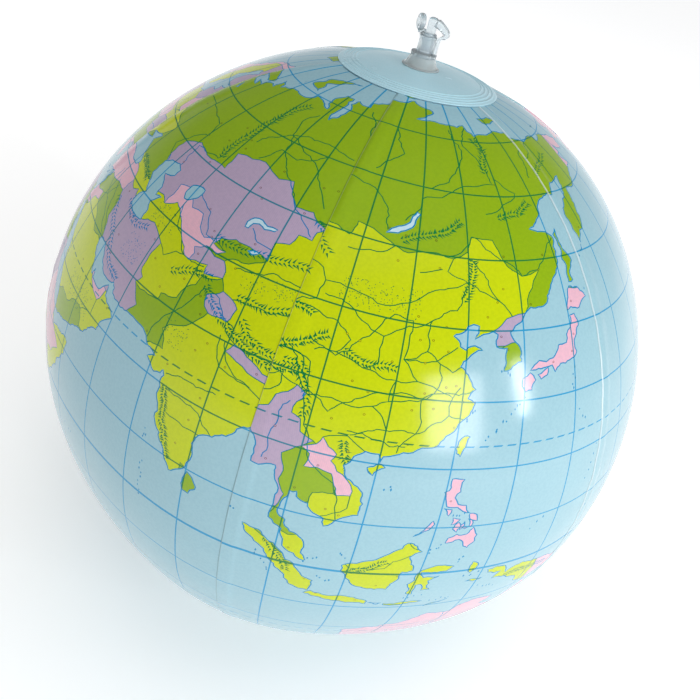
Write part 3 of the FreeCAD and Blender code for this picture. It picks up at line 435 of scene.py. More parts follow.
# Rivers and the borders of provinces, as open lines.
LINES = [
    "85 52, 82 55, 76 59, 68 61, 66.5 64, 69 66.5", "85 47.5, 80 50.5, 74 55, 70 58, 68.5 61",
    "92 52, 93 56, 90 60, 88 65, 86 68, 83 71.5", "104 52, 102 56, 98 58, 92.5 58.5",
    "107 54, 110 58, 118 60.5, 129 62, 127 66, 123 69, 126.5 73", "125 57, 135 60.5, 130 63",
    "147 62, 152 66, 160 69.5", "143 63, 145 67, 150 71", "112 60, 119 64, 122 68, 119 72",
    "116 50, 121 53.3, 127 50, 131 47.7, 135 48.5, 138 51, 141 53", "98 61, 104 65, 100 70",
    "35 57, 44 56.3, 49 55.5, 50 53, 46 50, 45 48.5, 48 46", "58 54, 58 51.5, 51 51, 52 47",
    "62 57, 66 60, 72 62, 80 62, 86 61", "66 55, 69 58, 74 57.5, 80 60",
    "97 35, 101 33.5, 103.5 36, 106 38.5, 108 40.7, 111 40.3, 110.5 35, 114 35, 118.5 37.5",
    "92 34, 97 32, 99 28, 102 26, 105 28.5, 108 30, 111 30.5, 114 30, 117 31, 121.5 31.7",
    "95 33, 98.5 28, 100.5 22, 102 18, 105 16, 106 12, 106.5 10", "105 24, 109 23.5, 113 23",
    "78.5 30.5, 80 26.5, 85 25.5, 88.5 24, 90.5 22.8", "79.5 30, 83 26, 85 25.6",
    "82 30, 88 29.2, 95 29.3, 95 27.5, 90 26, 89.8 24", "74 20, 79.5 19, 82 16.8",
    "80 32, 76 34.8, 73 35, 71 31, 68.5 27.5, 67.7 24.5", "81 22.7, 77 22.5, 73 21.7",
    "75 16.5, 78 16, 81 16", "97 26, 96 22, 95.5 17", "76 39.5, 82 41, 88 40.5",
    "71 37.5, 66 37.5, 62 40, 60 43", "73 40.8, 68 41.5, 66 44.5, 61.5 46",
    "80 43.8, 77 44, 75 45.5", "39 39, 38.5 36.5, 42 34, 46 31, 48 30.2",
    "41 37.5, 44 34, 46.5 32, 47.5 31", "31 31, 31 27, 33 24, 31 20, 32.5 15.6, 32 10, 31.5 3",
    "78 35.5, 82 36, 86 36.3, 90 36.5, 92.5 38.5, 96 40, 96.4 42.7",
    "90 36.5, 91 33, 95 32.5, 98 31.8, 98.7 27.5", "92.5 38.5, 97 38.5, 100 38, 102.5 36, 101 34, 98 33.5",
    "97 41, 102 40, 105 38, 107 37.5, 110.5 39.5, 114 40.7, 118 42.5, 119.5 46",
    "107 37.5, 107 34, 105 32.8, 101 34", "105 32.8, 110 32, 109.5 29, 107.5 28",
    "110 32, 113 32.3, 116 31.5", "110.5 35, 113 32.3", "114 40.7, 113.8 36.5, 110.5 35",
    "113.8 36.5, 116 35, 118 34, 120 35", "116 31.5, 116 35", "116 31.5, 118.5 30.5, 119.5 32",
    "116 31.5, 114 29.8, 109.5 29", "114 29.8, 114 25, 110 25, 107.5 28",
    "118.5 30.5, 118.3 28, 116 26.5, 114 25", "118.3 28, 120.5 27.5", "114 25, 112 22",
    "110 25, 105.5 23.5", "107.5 28, 104 27.5, 98.7 27.5", "119.8 46.6, 122 45.5, 126 44, 128 42",
    "120.5 50, 123 48, 124 46, 126 44", "98 48, 103 48.5, 106 50", "111 47, 115 48",
    "24 50, 30 51, 34 49, 33 46.6", "10 48, 16 48.2, 19 46, 21 44.8, 28 45.2",
    "24 -7, 20 0, 24 1, 26 -4", "-8 10.5, -3 16.5, 3 13, 6 8, 6 4.6",
    "-95 47, -91 42, -90 38, -91 33, -90 29.5", "-112 46, -101 47, -97 42, -90.3 38.7",
    "-73 -4.5, -65 -3, -58 -3, -51 -1", "-58 -15, -58 -27, -60 -33",
    "-117 61, -124 64, -130 67, -134 69", "-65 -15, -62 -9, -59 -4",
    "146 -36, 142 -34.5, 139.5 -35", "141 -38, 141 -26, 138 -26, 138 -16.5",
    "129 -31.6, 129 -15", "129 -26, 141 -26", "141 -29, 153 -28.6",
]

# Mountain ranges, drawn as two rows of short strokes.
RANGES = [
    "73 35.5, 76 33.5, 79 31.8, 82 30.6, 86 29.2, 90 29, 94 29.8, 97 30, 98.6 28, 99.3 26, 99 24",
    "78.5 36, 83 36, 88 36.8", "89.5 38.2, 93 38.4, 96.5 37.8", "80.5 33.5, 82 31.9, 85.5 30.8, 90 31",
    "91.5 31.5, 94 33.2, 97 34.4, 99.5 36", "94.5 31, 96.6 31.4, 98.4 30", "70.5 36.2, 73.5 36.8",
    "70 42, 76 42, 82 42.8, 88 43.4, 94 43.2", "85 50, 90 48.5, 96 46", "73.5 20, 74.5 15, 77 9.5",
    "58.5 52, 59 60, 64 67.5", "107 51, 112 52.6, 119 55.5", "128 56.5, 134 57, 138 59",
    "128 64, 130 68, 128 71", "150 62, 157 65, 165 67", "48.5 38, 52 36, 57 37",
    "45 36.5, 48.5 33, 52 29.5, 57 27.5", "41 43.3, 48 41.4", "66 34.5, 71 36.3",
    "119 44, 121 50", "102 34.5, 110 33.5", "105 22.5, 107 17.5",
    "98.5 4, 102 -2", "110 0, 115 3", "-150 63, -142 61, -130 55, -120 49, -110 42, -106 35",
    "-78 5, -79 -5, -72 -15, -68 -25, -70 -35, -73 -48", "-5 32, 3 35, 9 36",
    "6.5 45, 13 47", "135 -4, 145 -6", "148 -36, 152 -28",
]

# Deserts, drawn as dots: west, east, south and north edges.
DESERTS = [
    (99, 112, 40.5, 44.5), (77.5, 88, 37.5, 40.2), (55, 62, 38.5, 41.5), (69.5, 74, 25.5, 29),
    (45, 54, 18, 22.5), (54, 59, 31, 35), (0, 24, 21, 27), (122, 134, -28, -22),
]

# Chains of islets: where a chain starts and ends (longitude and latitude), and how many it has.
ISLET_CHAINS = [
    (124.0, 24.3, 130.5, 30.5, 11), (145.5, 44.0, 155.5, 50.5, 9), (92.7, 10.6, 93.0, 13.6, 6),
    (93.6, 6.9, 93.0, 9.4, 4), (73.2, -0.6, 73.0, 7.1, 9), (72.5, 10.2, 72.8, 12.0, 4),
    (97.2, 1.4, 100.2, -3.2, 6), (119.9, 4.8, 122.0, 6.7, 5), (121.6, 11.9, 123.6, 12.5, 4),
    (125.3, 2.4, 125.6, 4.0, 4), (127.2, -1.6, 129.5, -1.0, 4), (130.8, -5.6, 134.6, -6.6, 5),
    (123.8, -8.3, 127.6, -7.6, 5), (119.2, -7.0, 122.6, -5.6, 4), (106.2, -1.6, 108.0, -2.9, 4),
    (103.8, 0.9, 105.6, 2.8, 4), (111.6, 16.4, 112.8, 16.9, 3), (109.4, 3.2, 108.2, 4.2, 3),
    (144.8, 13.4, 145.8, 20.0, 5), (139.4, 29.8, 140.0, 34.2, 5), (134.5, 7.2, 138.2, 9.6, 3),
    (141.0, 27.0, 142.4, 24.5, 3), (151.0, 7.2, 158.4, 6.8, 4), (120.6, 26.6, 122.4, 30.2, 5),
    (125.8, 34.2, 127.6, 33.6, 3), (55.2, -21.0, 57.6, -20.2, 2), (52.0, -4.6, 55.6, -4.4, 3),
    (160.0, -9.0, 162.0, -10.4, 4), (166.8, -14.8, 168.6, -18.6, 4), (173.0, 1.8, 174.8, -1.6, 3),
    (-160.0, 22.0, -155.6, 19.6, 4), (-28.4, 38.6, -25.4, 37.6, 3), (-17.6, 28.2, -14.0, 28.8, 4),
    (-25.0, 16.8, -23.4, 15.0, 3), (-61.8, 17.6, -60.9, 13.4, 5), (-78.0, 26.4, -74.6, 23.4, 4),
    (19.6, 39.8, 20.8, 38.0, 3), (25.2, 37.2, 27.8, 36.0, 4), (49.5, 71.2, 48.6, 69.2, 2),
]

# Towns, drawn as tiny rings.
TOWNS = """
37.6 55.7, 30.3 60, 44 56.3, 49.1 55.8, 50.2 53.2, 56 54.7, 56.3 58, 60.6 56.8, 61.4 55.2,
73.4 55, 83 55, 86 55.3, 92.9 56, 104.3 52.3, 107.6 51.8, 113.5 52, 129.7 62, 135 48.5,
131.9 43.6, 127.5 50.6, 136.9 50.6, 150.8 59.8, 158.6 53.4, 88 69.4, 82 50.4, 71.4 51.2,
73.1 49.8, 76.9 43.6, 69 42.5, 65.5 44.8, 57.2 50.3, 51.9 47.6, 69.2 41.6, 74.6 42.6,
68.8 38.6, 58.4 38.2, 62 34.4, 69 34.6, 65.7 31.6, 51.4 35.9, 59.6 36.4, 51.7 32.7, 52.6 29.8,
46.3 38.1, 44.4 33.5, 46.7 24.7, 39.8 21.6, 45 13.4, 58 23.2, 54.4 24.1, 67.3 25.2, 74.3 31.6,
73 33.8, 77.2 28.6, 72.9 19.4, 88.3 22.7, 80.1 13.1, 78.5 17.4, 77.6 13, 72.7 23, 75.9 26.9,
80.9 26.8, 79.1 21.2, 85.3 27.7, 90.4 23.9, 96.1 17, 96.1 22, 100.5 14, 102.6 18.2,
104.9 11.7, 105.8 21.1, 106.7 11, 101.7 3.3, 91.1 29.8, 87.6 43.9, 76 39.4, 103.8 36.2,
101.8 36.7, 108.9 34.4, 104.1 30.8, 106.5 29.8, 102.7 25.2, 106.7 26.7, 113.3 23.4,
112.9 28.3, 114.3 30.8, 118.8 32.2, 121.2 31.1, 117 36.8, 114.5 38.1, 112.5 37.9, 116.4 40.1,
111.7 41, 123.4 41.9, 125.3 44, 126.6 45.9, 119.3 26.3, 115.9 28.8, 120.2 30, 113.7 34.9,
117.3 31.9, 106.9 48, 91.6 48.1, 114.5 48.1, 125.8 39.2, 127 37.4, 139.7 36, 135.5 35,
140.5 38.4, 141.3 43.2, 121 14.8, 106.9 -6.5, 112.6 -7.5, 98.8 3.4, 104.8 -3, 114.6 -3,
117 -0.5, 147.1 -9.2, 31.3 30.1, 3.2 36.5, -3.7 40.5, 2.4 49, 13.4 52.6, 12.6 42, 21 52.3,
30.5 50.5, 36.9 -1.2, 28 -26.3, 18.5 -33.8, 15.3 -4.4, 3.5 6.6, 38.8 9.2, 32.6 15.7,
-77 39, -87.8 41.8, -118.2 34.2, -99.2 19.5, -79.4 43.8, -114 51, -47.9 -15.9, -43.4 -22.8,
-58.6 -34.8, -70.8 -33.5, -77 -12, -74.1 4.8, -66.9 10.4, 151 -33.8, 145 -37.7, 115.9 -31.8,
130.9 -12.6, 153 -27.6, 174.8 -37"""

# ---------------------------------------------------------------------------
# Sizes and colours
# ---------------------------------------------------------------------------

# How far the stem's tube hangs below the top of the north cap.
TUBE_DEPTH = 2.6 * MM
CAP_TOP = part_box("valve_stem")[0].z + TUBE_DEPTH
BALL_CENTRE = CAP_TOP / 2
EQUATOR_RADIUS = CAD_HIGH.x
# Each gore's arc from pole to pole has its centre this far off the polar axis.
ARC_OFFSET = 3.6 * MM
GORE_RADIUS = EQUATOR_RADIUS - ARC_OFFSET
DEGREE = math.radians(1)
MM_PER_DEGREE = EQUATOR_RADIUS * DEGREE / MM

# The western seam of each gore, in degrees east.
GORE_SEAMS = {
    "gore_europe_africa": -30, "gore_west_asia": 30, "gore_east_asia": 90,
    "gore_pacific": 150, "gore_west_americas": 210, "gore_east_americas": 270,
}
HALF_GORE = 30.0
# The strip of map on a gore is narrower than the gore, and is stretched east to west to fill it.
PRINT_STRETCH = 1.12
HALF_PRINT = HALF_GORE / PRINT_STRETCH
# Degrees of sheet beyond the eastern seam, tucked under the next gore.
TAB_WIDTH = 1.4
# Outlines with less area than this, in square degrees, are left out.
SMALLEST_AREA = 1e-5
# How a latitude on the print becomes a latitude on the ball.
LATITUDE_SCALE = 0.985
LATITUDE_SHIFT = -1.04
PRINT_SOUTH, PRINT_NORTH = -79.0, 80.6
# The print's latitude at the rim of the north cap.
RIM_LATITUDE = 78.72
GRATICULE_STEP = 10.0
TROPIC_LATITUDE = 23.45
# The faint dot screen on lilac and pink land, in radians per degree of the map.
SCREEN_PITCH = 26.0


def srgb(red, green, blue):
    """The linear colour of an everyday 0 to 255 colour."""
    return tuple(((part / 255 + 0.055) / 1.055) ** 2.4 if part > 10 else part / 3294.6
                 for part in (red, green, blue))


def length_property(name, description, default):
    """A length in metres that the sidebar shows."""
    return bpy.props.FloatProperty(
        name=name, description=description, default=default, unit="LENGTH", precision=5)


def colour_property(name, description, default):
    """A colour that the sidebar shows."""
    return bpy.props.FloatVectorProperty(
        name=name, description=description, default=default, subtype="COLOR", size=3,
        min=0, max=1)


class GlobeSizes(bpy.types.PropertyGroup):
    """Sizes of the film, its seams and the printed lines."""
    film: length_property("Film", "Thickness of the vinyl film", 0.3 * MM)
    lap: length_property("Lap", "Width of the welded lap between two gores", 4.2 * MM)
    lobe_depth: length_property(
        "Lobe depth", "How far the middle of a gore lies inside its seams", 2.4 * MM)
    pucker_height: length_property(
        "Pucker height", "Height of the small waves beside a seam", 0.11 * MM)
    coast_width: length_property("Coast line", "Width of the printed coast line", 0.48 * MM)
    border_width: length_property("Border line", "Width of a printed border", 0.36 * MM)
    river_width: length_property("River line", "Width of a printed river", 0.38 * MM)
    graticule_width: length_property(
        "Graticule line", "Width of the printed meridians and parallels", 0.6 * MM)


class GlobeColours(bpy.types.PropertyGroup):
    """Colours of the printing inks and of the vinyl."""
    sea: colour_property("Sea", "Pale blue of the sea", srgb(158, 199, 211))
    yellow: colour_property("Yellow", "Yellow-green land tint", srgb(200, 214, 0))
    green: colour_property("Green", "Leaf green land tint", srgb(146, 180, 8))
    lake: colour_property("Lakes", "Paler blue of the lakes", srgb(196, 224, 234))
    lilac: colour_property("Lilac", "Lilac land tint", srgb(186, 166, 190))
    pink: colour_property("Pink", "Pink land tint", srgb(236, 186, 200))
    coast: colour_property("Coast", "Blue of the coast lines", srgb(0, 138, 190))
    land_line: colour_property("Land line", "Green of the lines on yellow and green land",
                               srgb(0, 122, 56))
    overprint: colour_property(
        "Overprint", "What the line ink lets through of the sea or of lilac and pink land",
        srgb(5, 192, 246))
    cap: colour_property("Caps", "Grey-blue of the pole caps", srgb(184, 227, 240))


# ---------------------------------------------------------------------------
# Shader building
# ---------------------------------------------------------------------------

class Signal:
    """A node socket that can be used in an arithmetic expression."""

    def __init__(self, graph, socket):
        self.graph = graph
        self.socket = socket

    def _maths(self, operation, *others):
        values = {0: self.socket}
        values.update({slot: other for slot, other in enumerate(others, start=1)})
        return self.graph.add("ShaderNodeMath", {"operation": operation}, values)

    def __add__(self, other):
        return self._maths("ADD", other)

    __radd__ = __add__

    def __sub__(self, other):
        return self._maths("SUBTRACT", other)

    def __rsub__(self, other):
        return (self * -1.0) + other

    def __mul__(self, other):
        return self._maths("MULTIPLY", other)

    __rmul__ = __mul__

    def __truediv__(self, other):
        return self._maths("DIVIDE", other)

    def below(self, limit):
        """1 where the value is under the limit."""
        return self._maths("LESS_THAN", limit)

    def above(self, limit):
        """1 where the value is over the limit."""
        return self._maths("GREATER_THAN", limit)

    def either(self, other):
        """The larger of two values."""
        return self._maths("MAXIMUM", other)

    def size(self):
        """The value without its sign."""
        return self._maths("ABSOLUTE")

    def sine(self):
        """The sine of an angle in radians."""
        return self._maths("SINE")

    def cosine(self):
        """The cosine of an angle in radians."""
        return self._maths("COSINE")

    def from_nearest(self, step):
        """Distance to the nearest multiple of a step."""
        return ((self / step + 0.5)._maths("FRACT") - 0.5).size() * step


class ShaderGraph:
    """A material's node tree and its Principled shader."""

    def __init__(self, name):
        self.material = bpy.data.materials.new(name)
        self.material.use_nodes = True
        self.nodes = self.material.node_tree.nodes
        self.links = self.material.node_tree.links
        self.shader = self.nodes["Principled BSDF"]

    def add(self, kind, settings=None, values=None, output=0):
        """Add a node, set it, fill its sockets with values or links, and return one output."""
        node = self.nodes.new(kind)
        for name, setting in (settings or {}).items():
            setattr(node, name, setting)
        for name, value in (values or {}).items():
            self.fill(node.inputs[name], value)
        return Signal(self, node.outputs[output])

    def fill(self, socket, value):
        """Link a signal to a socket, or set the socket's own value."""
        if isinstance(value, Signal):
            value = value.socket
        if isinstance(value, bpy.types.NodeSocket):
            self.links.new(value, socket)
        elif socket.type == "RGBA" and len(value) == 3:
            socket.default_value = (*value, 1)
        else:
            socket.default_value = value

    def surface(self, **values):
        """Fill the Principled shader's sockets; underscores stand for spaces."""
        for name, value in values.items():
            self.fill(self.shader.inputs[name.replace("_", " ")], value)

    def place(self):
        """Where the point is in the object's own space."""
        return self.add("ShaderNodeTexCoord", output="Object")

    def noise(self, scale, detail=3.0, vector=None, roughness=0.5):
        """A soft random value from 0 to 1, in patches of about one over the scale."""
        return self.add("ShaderNodeTexNoise", {}, {
            "Vector": vector or self.place(), "Scale": scale, "Detail": detail,
            "Roughness": roughness}, "Fac")

    def mix(self, factor, first, second, blend="MIX"):
        """Blend two colours."""
        node = self.nodes.new("ShaderNodeMix")
        node.data_type = "RGBA"
        node.blend_type = blend
        self.fill(node.inputs[0], factor)
        self.fill(node.inputs[6], first)
        self.fill(node.inputs[7], second)
        return Signal(self, node.outputs[2])

    def ramp(self, factor, low, high):
        """Stretch a value so that low becomes 0 and high becomes 1."""
        return self.add("ShaderNodeMapRange", {}, {
            "Value": factor, "From Min": low, "From Max": high}, "Result")

    def bump(self, height, distance, strength=1.0):
        """Tilt the surface normal as a height in metres would."""
        self.surface(Normal=self.add("ShaderNodeBump", {}, {
            "Height": height, "Distance": distance, "Strength": strength}))


def graticule_lines(longitude, latitude, from_middle, narrowing, half_line):
    """1 on the meridians, the parallels, the double-width equator and the dashed tropics."""
    dash_step, half_dash = 2.0, 0.64
    off_meridian = longitude.from_nearest(GRATICULE_STEP) * narrowing
    off_meridian = off_meridian * MM_PER_DEGREE * PRINT_STRETCH
    off_parallel = latitude.from_nearest(GRATICULE_STEP) * MM_PER_DEGREE
    meridian = off_meridian.below(half_line)
    parallel = off_parallel.below(half_line)
    equator = (latitude.size() * MM_PER_DEGREE).below(half_line * 2.0)
    dashes = (longitude * narrowing).from_nearest(dash_step).below(half_dash)
    off_tropic = (latitude.size() - TROPIC_LATITUDE).size() * MM_PER_DEGREE
    tropic = off_tropic.below(half_line) * dashes
    inside = latitude.below(RIM_LATITUDE - 0.3) * from_middle.size().below(HALF_PRINT - 0.03)
    return meridian.either(parallel).either(equator).either(tropic) * inside


def inked_print(graph, tint, lines, dots, colours):
    """The printed tints with their dot screen, and the graticule's ink over them."""
    ink_cover, dot_cover, dot_tint = 0.94, 0.5, (0.72, 0.66, 0.9)
    parts = graph.nodes.new("ShaderNodeSeparateColor")
    graph.fill(parts.inputs[0], tint)
    blueness = graph.ramp(Signal(graph, parts.outputs["Blue"]), 0.3, 0.66)
    shining_through = graph.mix(1.0, tint, tuple(colours.overprint), "MULTIPLY")
    ink = graph.mix(blueness, tuple(colours.land_line), shining_through)
    is_sea = graph.ramp(Signal(graph, parts.outputs["Blue"]), 0.6, 0.62)
    screen = graph.ramp(dots, 0.0, 0.5)
    screened = graph.mix(screen * blueness * (1.0 - is_sea) * dot_cover, tint, dot_tint,
                         "MULTIPLY")
    return graph.mix(lines * ink_cover, screened, ink)


def worn_print(graph, printed, cloud, grain):
    """The print with soft blotches and the fine grain of the rollers."""
    blotched = graph.mix(graph.ramp(cloud, 0.35, 0.65) * 0.07, printed, (0.9, 0.95, 1.0),
                         "MULTIPLY")
    return graph.mix(graph.ramp(grain, 0.4, 0.62) * 0.12, blotched, (0.45, 0.6, 0.7), "MULTIPLY")


def seam_marks(graph, film, longitude, latitude, from_middle, narrowing):
    """The film with a pale margin at its weld, a painted shadow line along its eastern seam and a pale cap
    rim.
    """
    margin_width, margin_cover, extra_margin = 0.26, 0.12, 0.34
    shadow_line_width, shadow_line_cover, rim_cover = 0.28, 0.45, 0.7
    from_weld = (from_middle + HALF_PRINT) * MM_PER_DEGREE * narrowing
    from_shadow_line = (HALF_PRINT - from_middle) * MM_PER_DEGREE * narrowing
    wide_margin = longitude.above(150.0) * longitude.below(155.0)
    margin = graph.mix(from_weld.below(wide_margin * extra_margin + margin_width)
                       * (wide_margin * extra_margin + margin_cover), film, (0.86, 0.92, 0.94))
    # Painted shadow: a dark line multiplied into the film along the eastern seam, where the next gore's lap
    # steps over it.
    shadow_line = graph.mix(from_shadow_line.below(shadow_line_width) * shadow_line_cover, margin, (0.5, 0.55, 0.5),
                       "MULTIPLY")
    return graph.mix(latitude.above(RIM_LATITUDE - 0.26) * rim_cover, shadow_line, (0.72, 0.88, 0.97))


def make_printed_vinyl(sizes, colours):
    """Glossy vinyl film whose map is on the mesh and whose graticule is drawn here."""
    graph = ShaderGraph("printed_film")
    tint = graph.add("ShaderNodeAttribute", {"attribute_name": "print_colour"}, {}, "Color")
    place = graph.add("ShaderNodeAttribute", {"attribute_name": "print_place"}, {}, "Vector")
    split = graph.nodes.new("ShaderNodeSeparateXYZ")
    graph.fill(split.inputs[0], place)
    longitude, latitude, from_middle = (Signal(graph, out) for out in split.outputs)
    narrowing = (latitude * DEGREE).cosine()

    lines = graticule_lines(longitude, latitude, from_middle, narrowing,
                            sizes.graticule_width / MM / 2)
    dots = (longitude * narrowing * SCREEN_PITCH).sine() * (latitude * SCREEN_PITCH).sine()
    printed = inked_print(graph, tint, lines, dots, colours)
    grain = graph.noise(900.0, 2.0)
    cloud = graph.noise(14.0, 3.0)
    worn = worn_print(graph, printed, cloud, grain)
    graph.surface(
        Base_Color=seam_marks(graph, worn, longitude, latitude, from_middle, narrowing),
        Roughness=graph.ramp(cloud, -1.2, 10.0), IOR=1.52, Specular_IOR_Level=0.42)
    ripple = graph.noise(55.0, 2.0)
    graph.bump(ripple + grain * 0.02, 0.25 * MM, 0.6)
    return graph.material


def make_cap_vinyl(colours):
    """Glossy plain vinyl of the pole caps, with a faint calendered grain."""
    graph = ShaderGraph("cap_film")
    cloud = graph.noise(60.0, 4.0)
    grain = graph.noise(1500.0, 2.0)
    base = tuple(colours.cap)
    colour = graph.mix(graph.ramp(cloud, 0.3, 0.7) * 0.22, base, tuple(p * 0.7 for p in base))
    graph.surface(Base_Color=graph.mix(graph.ramp(grain, 0.4, 0.6) * 0.08, colour, (1, 1, 1)),
                  Roughness=graph.ramp(cloud, -1.0, 5.0), IOR=1.52)
    graph.bump(cloud + grain * 0.05, 0.2 * MM, 0.5)
    return graph.material


def make_clear_vinyl(name, transmission, clear, cloudy):
    """Clear soft vinyl with faint clouding and a few trapped bubbles."""
    graph = ShaderGraph(name)
    cloud = graph.noise(500.0, 3.0)
    bubbles = graph.add("ShaderNodeTexVoronoi", {"feature": "F1"}, {
        "Vector": graph.place(), "Scale": 620.0}, "Distance")
    colour = graph.mix(graph.ramp(cloud, 0.35, 0.7) * 0.5, clear, cloudy)
    graph.surface(Base_Color=graph.mix(bubbles.below(0.12) * 0.4, colour, (0.6, 0.66, 0.78)),
                  Roughness=graph.ramp(cloud, -0.6, 9.0), IOR=1.45,
                  Transmission_Weight=transmission)
    graph.bump(cloud, 0.08 * MM, 0.35)
    return graph.material


def make_floor_paint_and_glow():
    """Plain pale matt floor that glows as a painted light, weaker near the ball and stronger far off, and
    lights the ball from below.
    """
    graph = ShaderGraph("floor_paint")
    cloud = graph.noise(3.0, 2.0)
    away = graph.add("ShaderNodeVectorMath", {"operation": "LENGTH"}, {0: graph.place()}, "Value")
    # Painted light: the glow's colour rises from dim within a tenth of a metre of the ball to bright beyond
    # a metre.
    near_ball_glow, far_floor_glow = (0.34, 0.33, 0.32), (0.72, 0.72, 0.72)
    glow = graph.ramp(away, 0.1, 1.1)
    graph.surface(Base_Color=graph.mix(cloud * 0.1, (0.93, 0.93, 0.93), (0.9, 0.9, 0.91)),
                  Roughness=0.85, Emission_Strength=1.0,
                  Emission_Color=graph.mix(glow, near_ball_glow, far_floor_glow))
    return graph.material


# ---------------------------------------------------------------------------
# The printed sheet of one gore
# ---------------------------------------------------------------------------

def read_outline(text):
    """Longitude and latitude pairs from a line of text."""
    return [tuple(float(part) for part in pair.split()) for pair in text.split(",")]


def wander(start, end, roughness, longest):
    """Points from start up to end that stray from the straight line, the same both ways."""
    narrowing = math.cos((start[1] + end[1]) / 2 * DEGREE)
    across, up = (end[0] - start[0]) * narrowing, end[1] - start[1]
    length = math.hypot(across, up)
    if length < longest:
        return [start]
    first, last = sorted((start, end))
    stray = random.Random(f"{first}{last}").uniform(-roughness, roughness)
    east, north = (last[0] - first[0]), (last[1] - first[1])
    middle = ((first[0] + last[0]) / 2 - north * stray / max(narrowing, 0.15),
              (first[1] + last[1]) / 2 + east * narrowing * stray)
    return (wander(start, middle, roughness, longest)
            + wander(middle, end, roughness, longest))


def wandering_line(points, roughness, longest, closed):
    """A whole outline or line of straying stretches."""
    ends = points[1:] + points[:1] if closed else points[1:]
    line = []
    for start, end in zip(points, ends):
        line += wander(start, end, roughness, longest)
    return line if closed else line + [points[-1]]


def beside(point, direction, distance):
    """The point that many millimetres to the left of a direction."""
    narrowing = max(math.cos(point[1] * DEGREE), 0.12)
    across, up = direction
    length = math.hypot(across, up) or 1.0
    step = distance / MM_PER_DEGREE / length
    return (point[0] - up * step / narrowing, point[1] + across * step)


def heading(start, end):
    """The direction from start to end, as millimetres east and north."""
    narrowing = math.cos((start[1] + end[1]) / 2 * DEGREE)
    return ((end[0] - start[0]) * narrowing, end[1] - start[1])


def from_hull(outline):
    """The outline begun at its westernmost point and run so that its inside is on the left."""
    first = outline.index(min(outline))
    turned = outline[first:] + outline[:first]
    (west, south), after, before = turned[0], turned[1], turned[-1]
    turn = ((west - before[0]) * (after[1] - south) - (south - before[1]) * (after[0] - west))
    return turned if turn > 0 else turned[:1] + turned[:0:-1]


class PrintedSheet:
    """The flat map of one gore: outlines that cover each other in the order they are added."""

    def __init__(self, centre):
        self.centre = centre
        self.points = []
        self.outlines = []
        self.effects = []
        self.edges = []

    def add_outline(self, outline, effect):
        """Add one filled outline if it comes near this gore."""
        reach = HALF_PRINT + TAB_WIDTH + 0.5
        for turn in (-360, 0, 360):
            moved = [(east + turn - self.centre, north) for east, north in outline]
            longitudes = [east for east, _ in moved]
            if max(longitudes) < -reach or min(longitudes) > reach:
                continue
            area = sum(a[0] * b[1] - b[0] * a[1] for a, b in zip(moved, moved[1:] + moved[:1]))
            if abs(area) < SMALLEST_AREA:
                continue
            moved = from_hull(moved)
            first = len(self.points)
            self.points += moved
            self.outlines.append(list(range(first, first + len(moved))))
            self.effects.append(effect)

    def add_stroke(self, line, width, effect, closed=False):
        """Add a line of constant width as a row of mitred pieces."""
        count = len(line)
        left, right = [], []
        for index, point in enumerate(line):
            before = line[index - 1] if index or closed else point
            after = line[(index + 1) % count] if index + 1 < count or closed else point
            direction = heading(before, after)
            left.append(beside(point, direction, width / MM / 2))
            right.append(beside(point, direction, -width / MM / 2))
        for index in range(count if closed else count - 1):
            follower = (index + 1) % count
            self.add_outline([right[index], right[follower], left[follower]], effect)
            self.add_outline([right[index], left[follower], left[index]], effect)

    def add_guides(self):
        """Add the points that let the flat sheet follow the ball's curve."""
        step_north = 1.25
        rows = int((PRINT_NORTH - PRINT_SOUTH) / step_north)
        columns = 40
        for row in range(1, rows):
            north = PRINT_SOUTH + (PRINT_NORTH - PRINT_SOUTH) * row / rows
            for column in range(1, columns):
                self.points.append((HALF_PRINT * (2 * column / columns - 1), north))
        edge_step = 1 / MM_PER_DEGREE / PRINT_STRETCH
        for east in [-HALF_PRINT + edge_step * part for part in (0.12, 0.3, 4.2, 6.0)] + [
                HALF_PRINT, HALF_PRINT + 0.03]:
            first = len(self.points)
            for row in range(rows + 1):
                self.points.append((east, PRINT_SOUTH + (PRINT_NORTH - PRINT_SOUTH) * row / rows))
            self.edges += [(first + row, first + row + 1) for row in range(rows)]

    def cut(self):
        """Triangulate the sheet; returns its points, triangles and each triangle's effects."""
        points, _, faces, _, _, covers = delaunay_2d_cdt(
            [Vector(point) for point in self.points], self.edges, self.outlines, 1, 1e-6, True)
        kept = [(face, sorted(cover)) for face, cover in zip(faces, covers) if 0 in cover]
        return points, [face for face, _ in kept], [
            [self.effects[index] for index in cover] for _, cover in kept]


def draw_ranges(sheet, width):
    """Mountain ranges as two rows of short tapered strokes."""
    draw = random.Random(11)
    for text in RANGES:
        line = wandering_line(read_outline(text), 0.1, 0.62, False)
        for start, end in zip(line, line[1:]):
            direction = heading(start, end)
            for side in (-1, 1):
                root = beside(start, direction, side * draw.uniform(0.2, 0.6))
                tip = beside(end, direction, side * draw.uniform(1.3, 2.4))
                away = heading(root, tip)
                sheet.add_outline([beside(root, away, width / MM), tip,
                                   beside(root, away, -width / MM)], "line")


def draw_deserts(sheet):
    """Deserts as scattered dots."""
    draw = random.Random(12)
    dot = 0.09
    for west, east, south, north in DESERTS:
        for _ in range(int((east - west) * (north - south) * 3.6)):
            across, up = draw.uniform(west, east), draw.uniform(south, north)
            sheet.add_outline([(across - dot, up), (across, up - dot), (across + dot, up),
                               (across, up + dot)], "line")


def draw_towns(sheet):
    """Towns as tiny rings."""
    corners = 7
    for east, north in read_outline(TOWNS):
        narrowing = math.cos(north * DEGREE)
        for radius, effect in ((0.17, "town"), (0.09, "clear")):
            sheet.add_outline([
                (east + radius * math.cos(math.tau * corner / corners) / narrowing,
                 north + radius * math.sin(math.tau * corner / corners))
                for corner in range(corners)], effect)


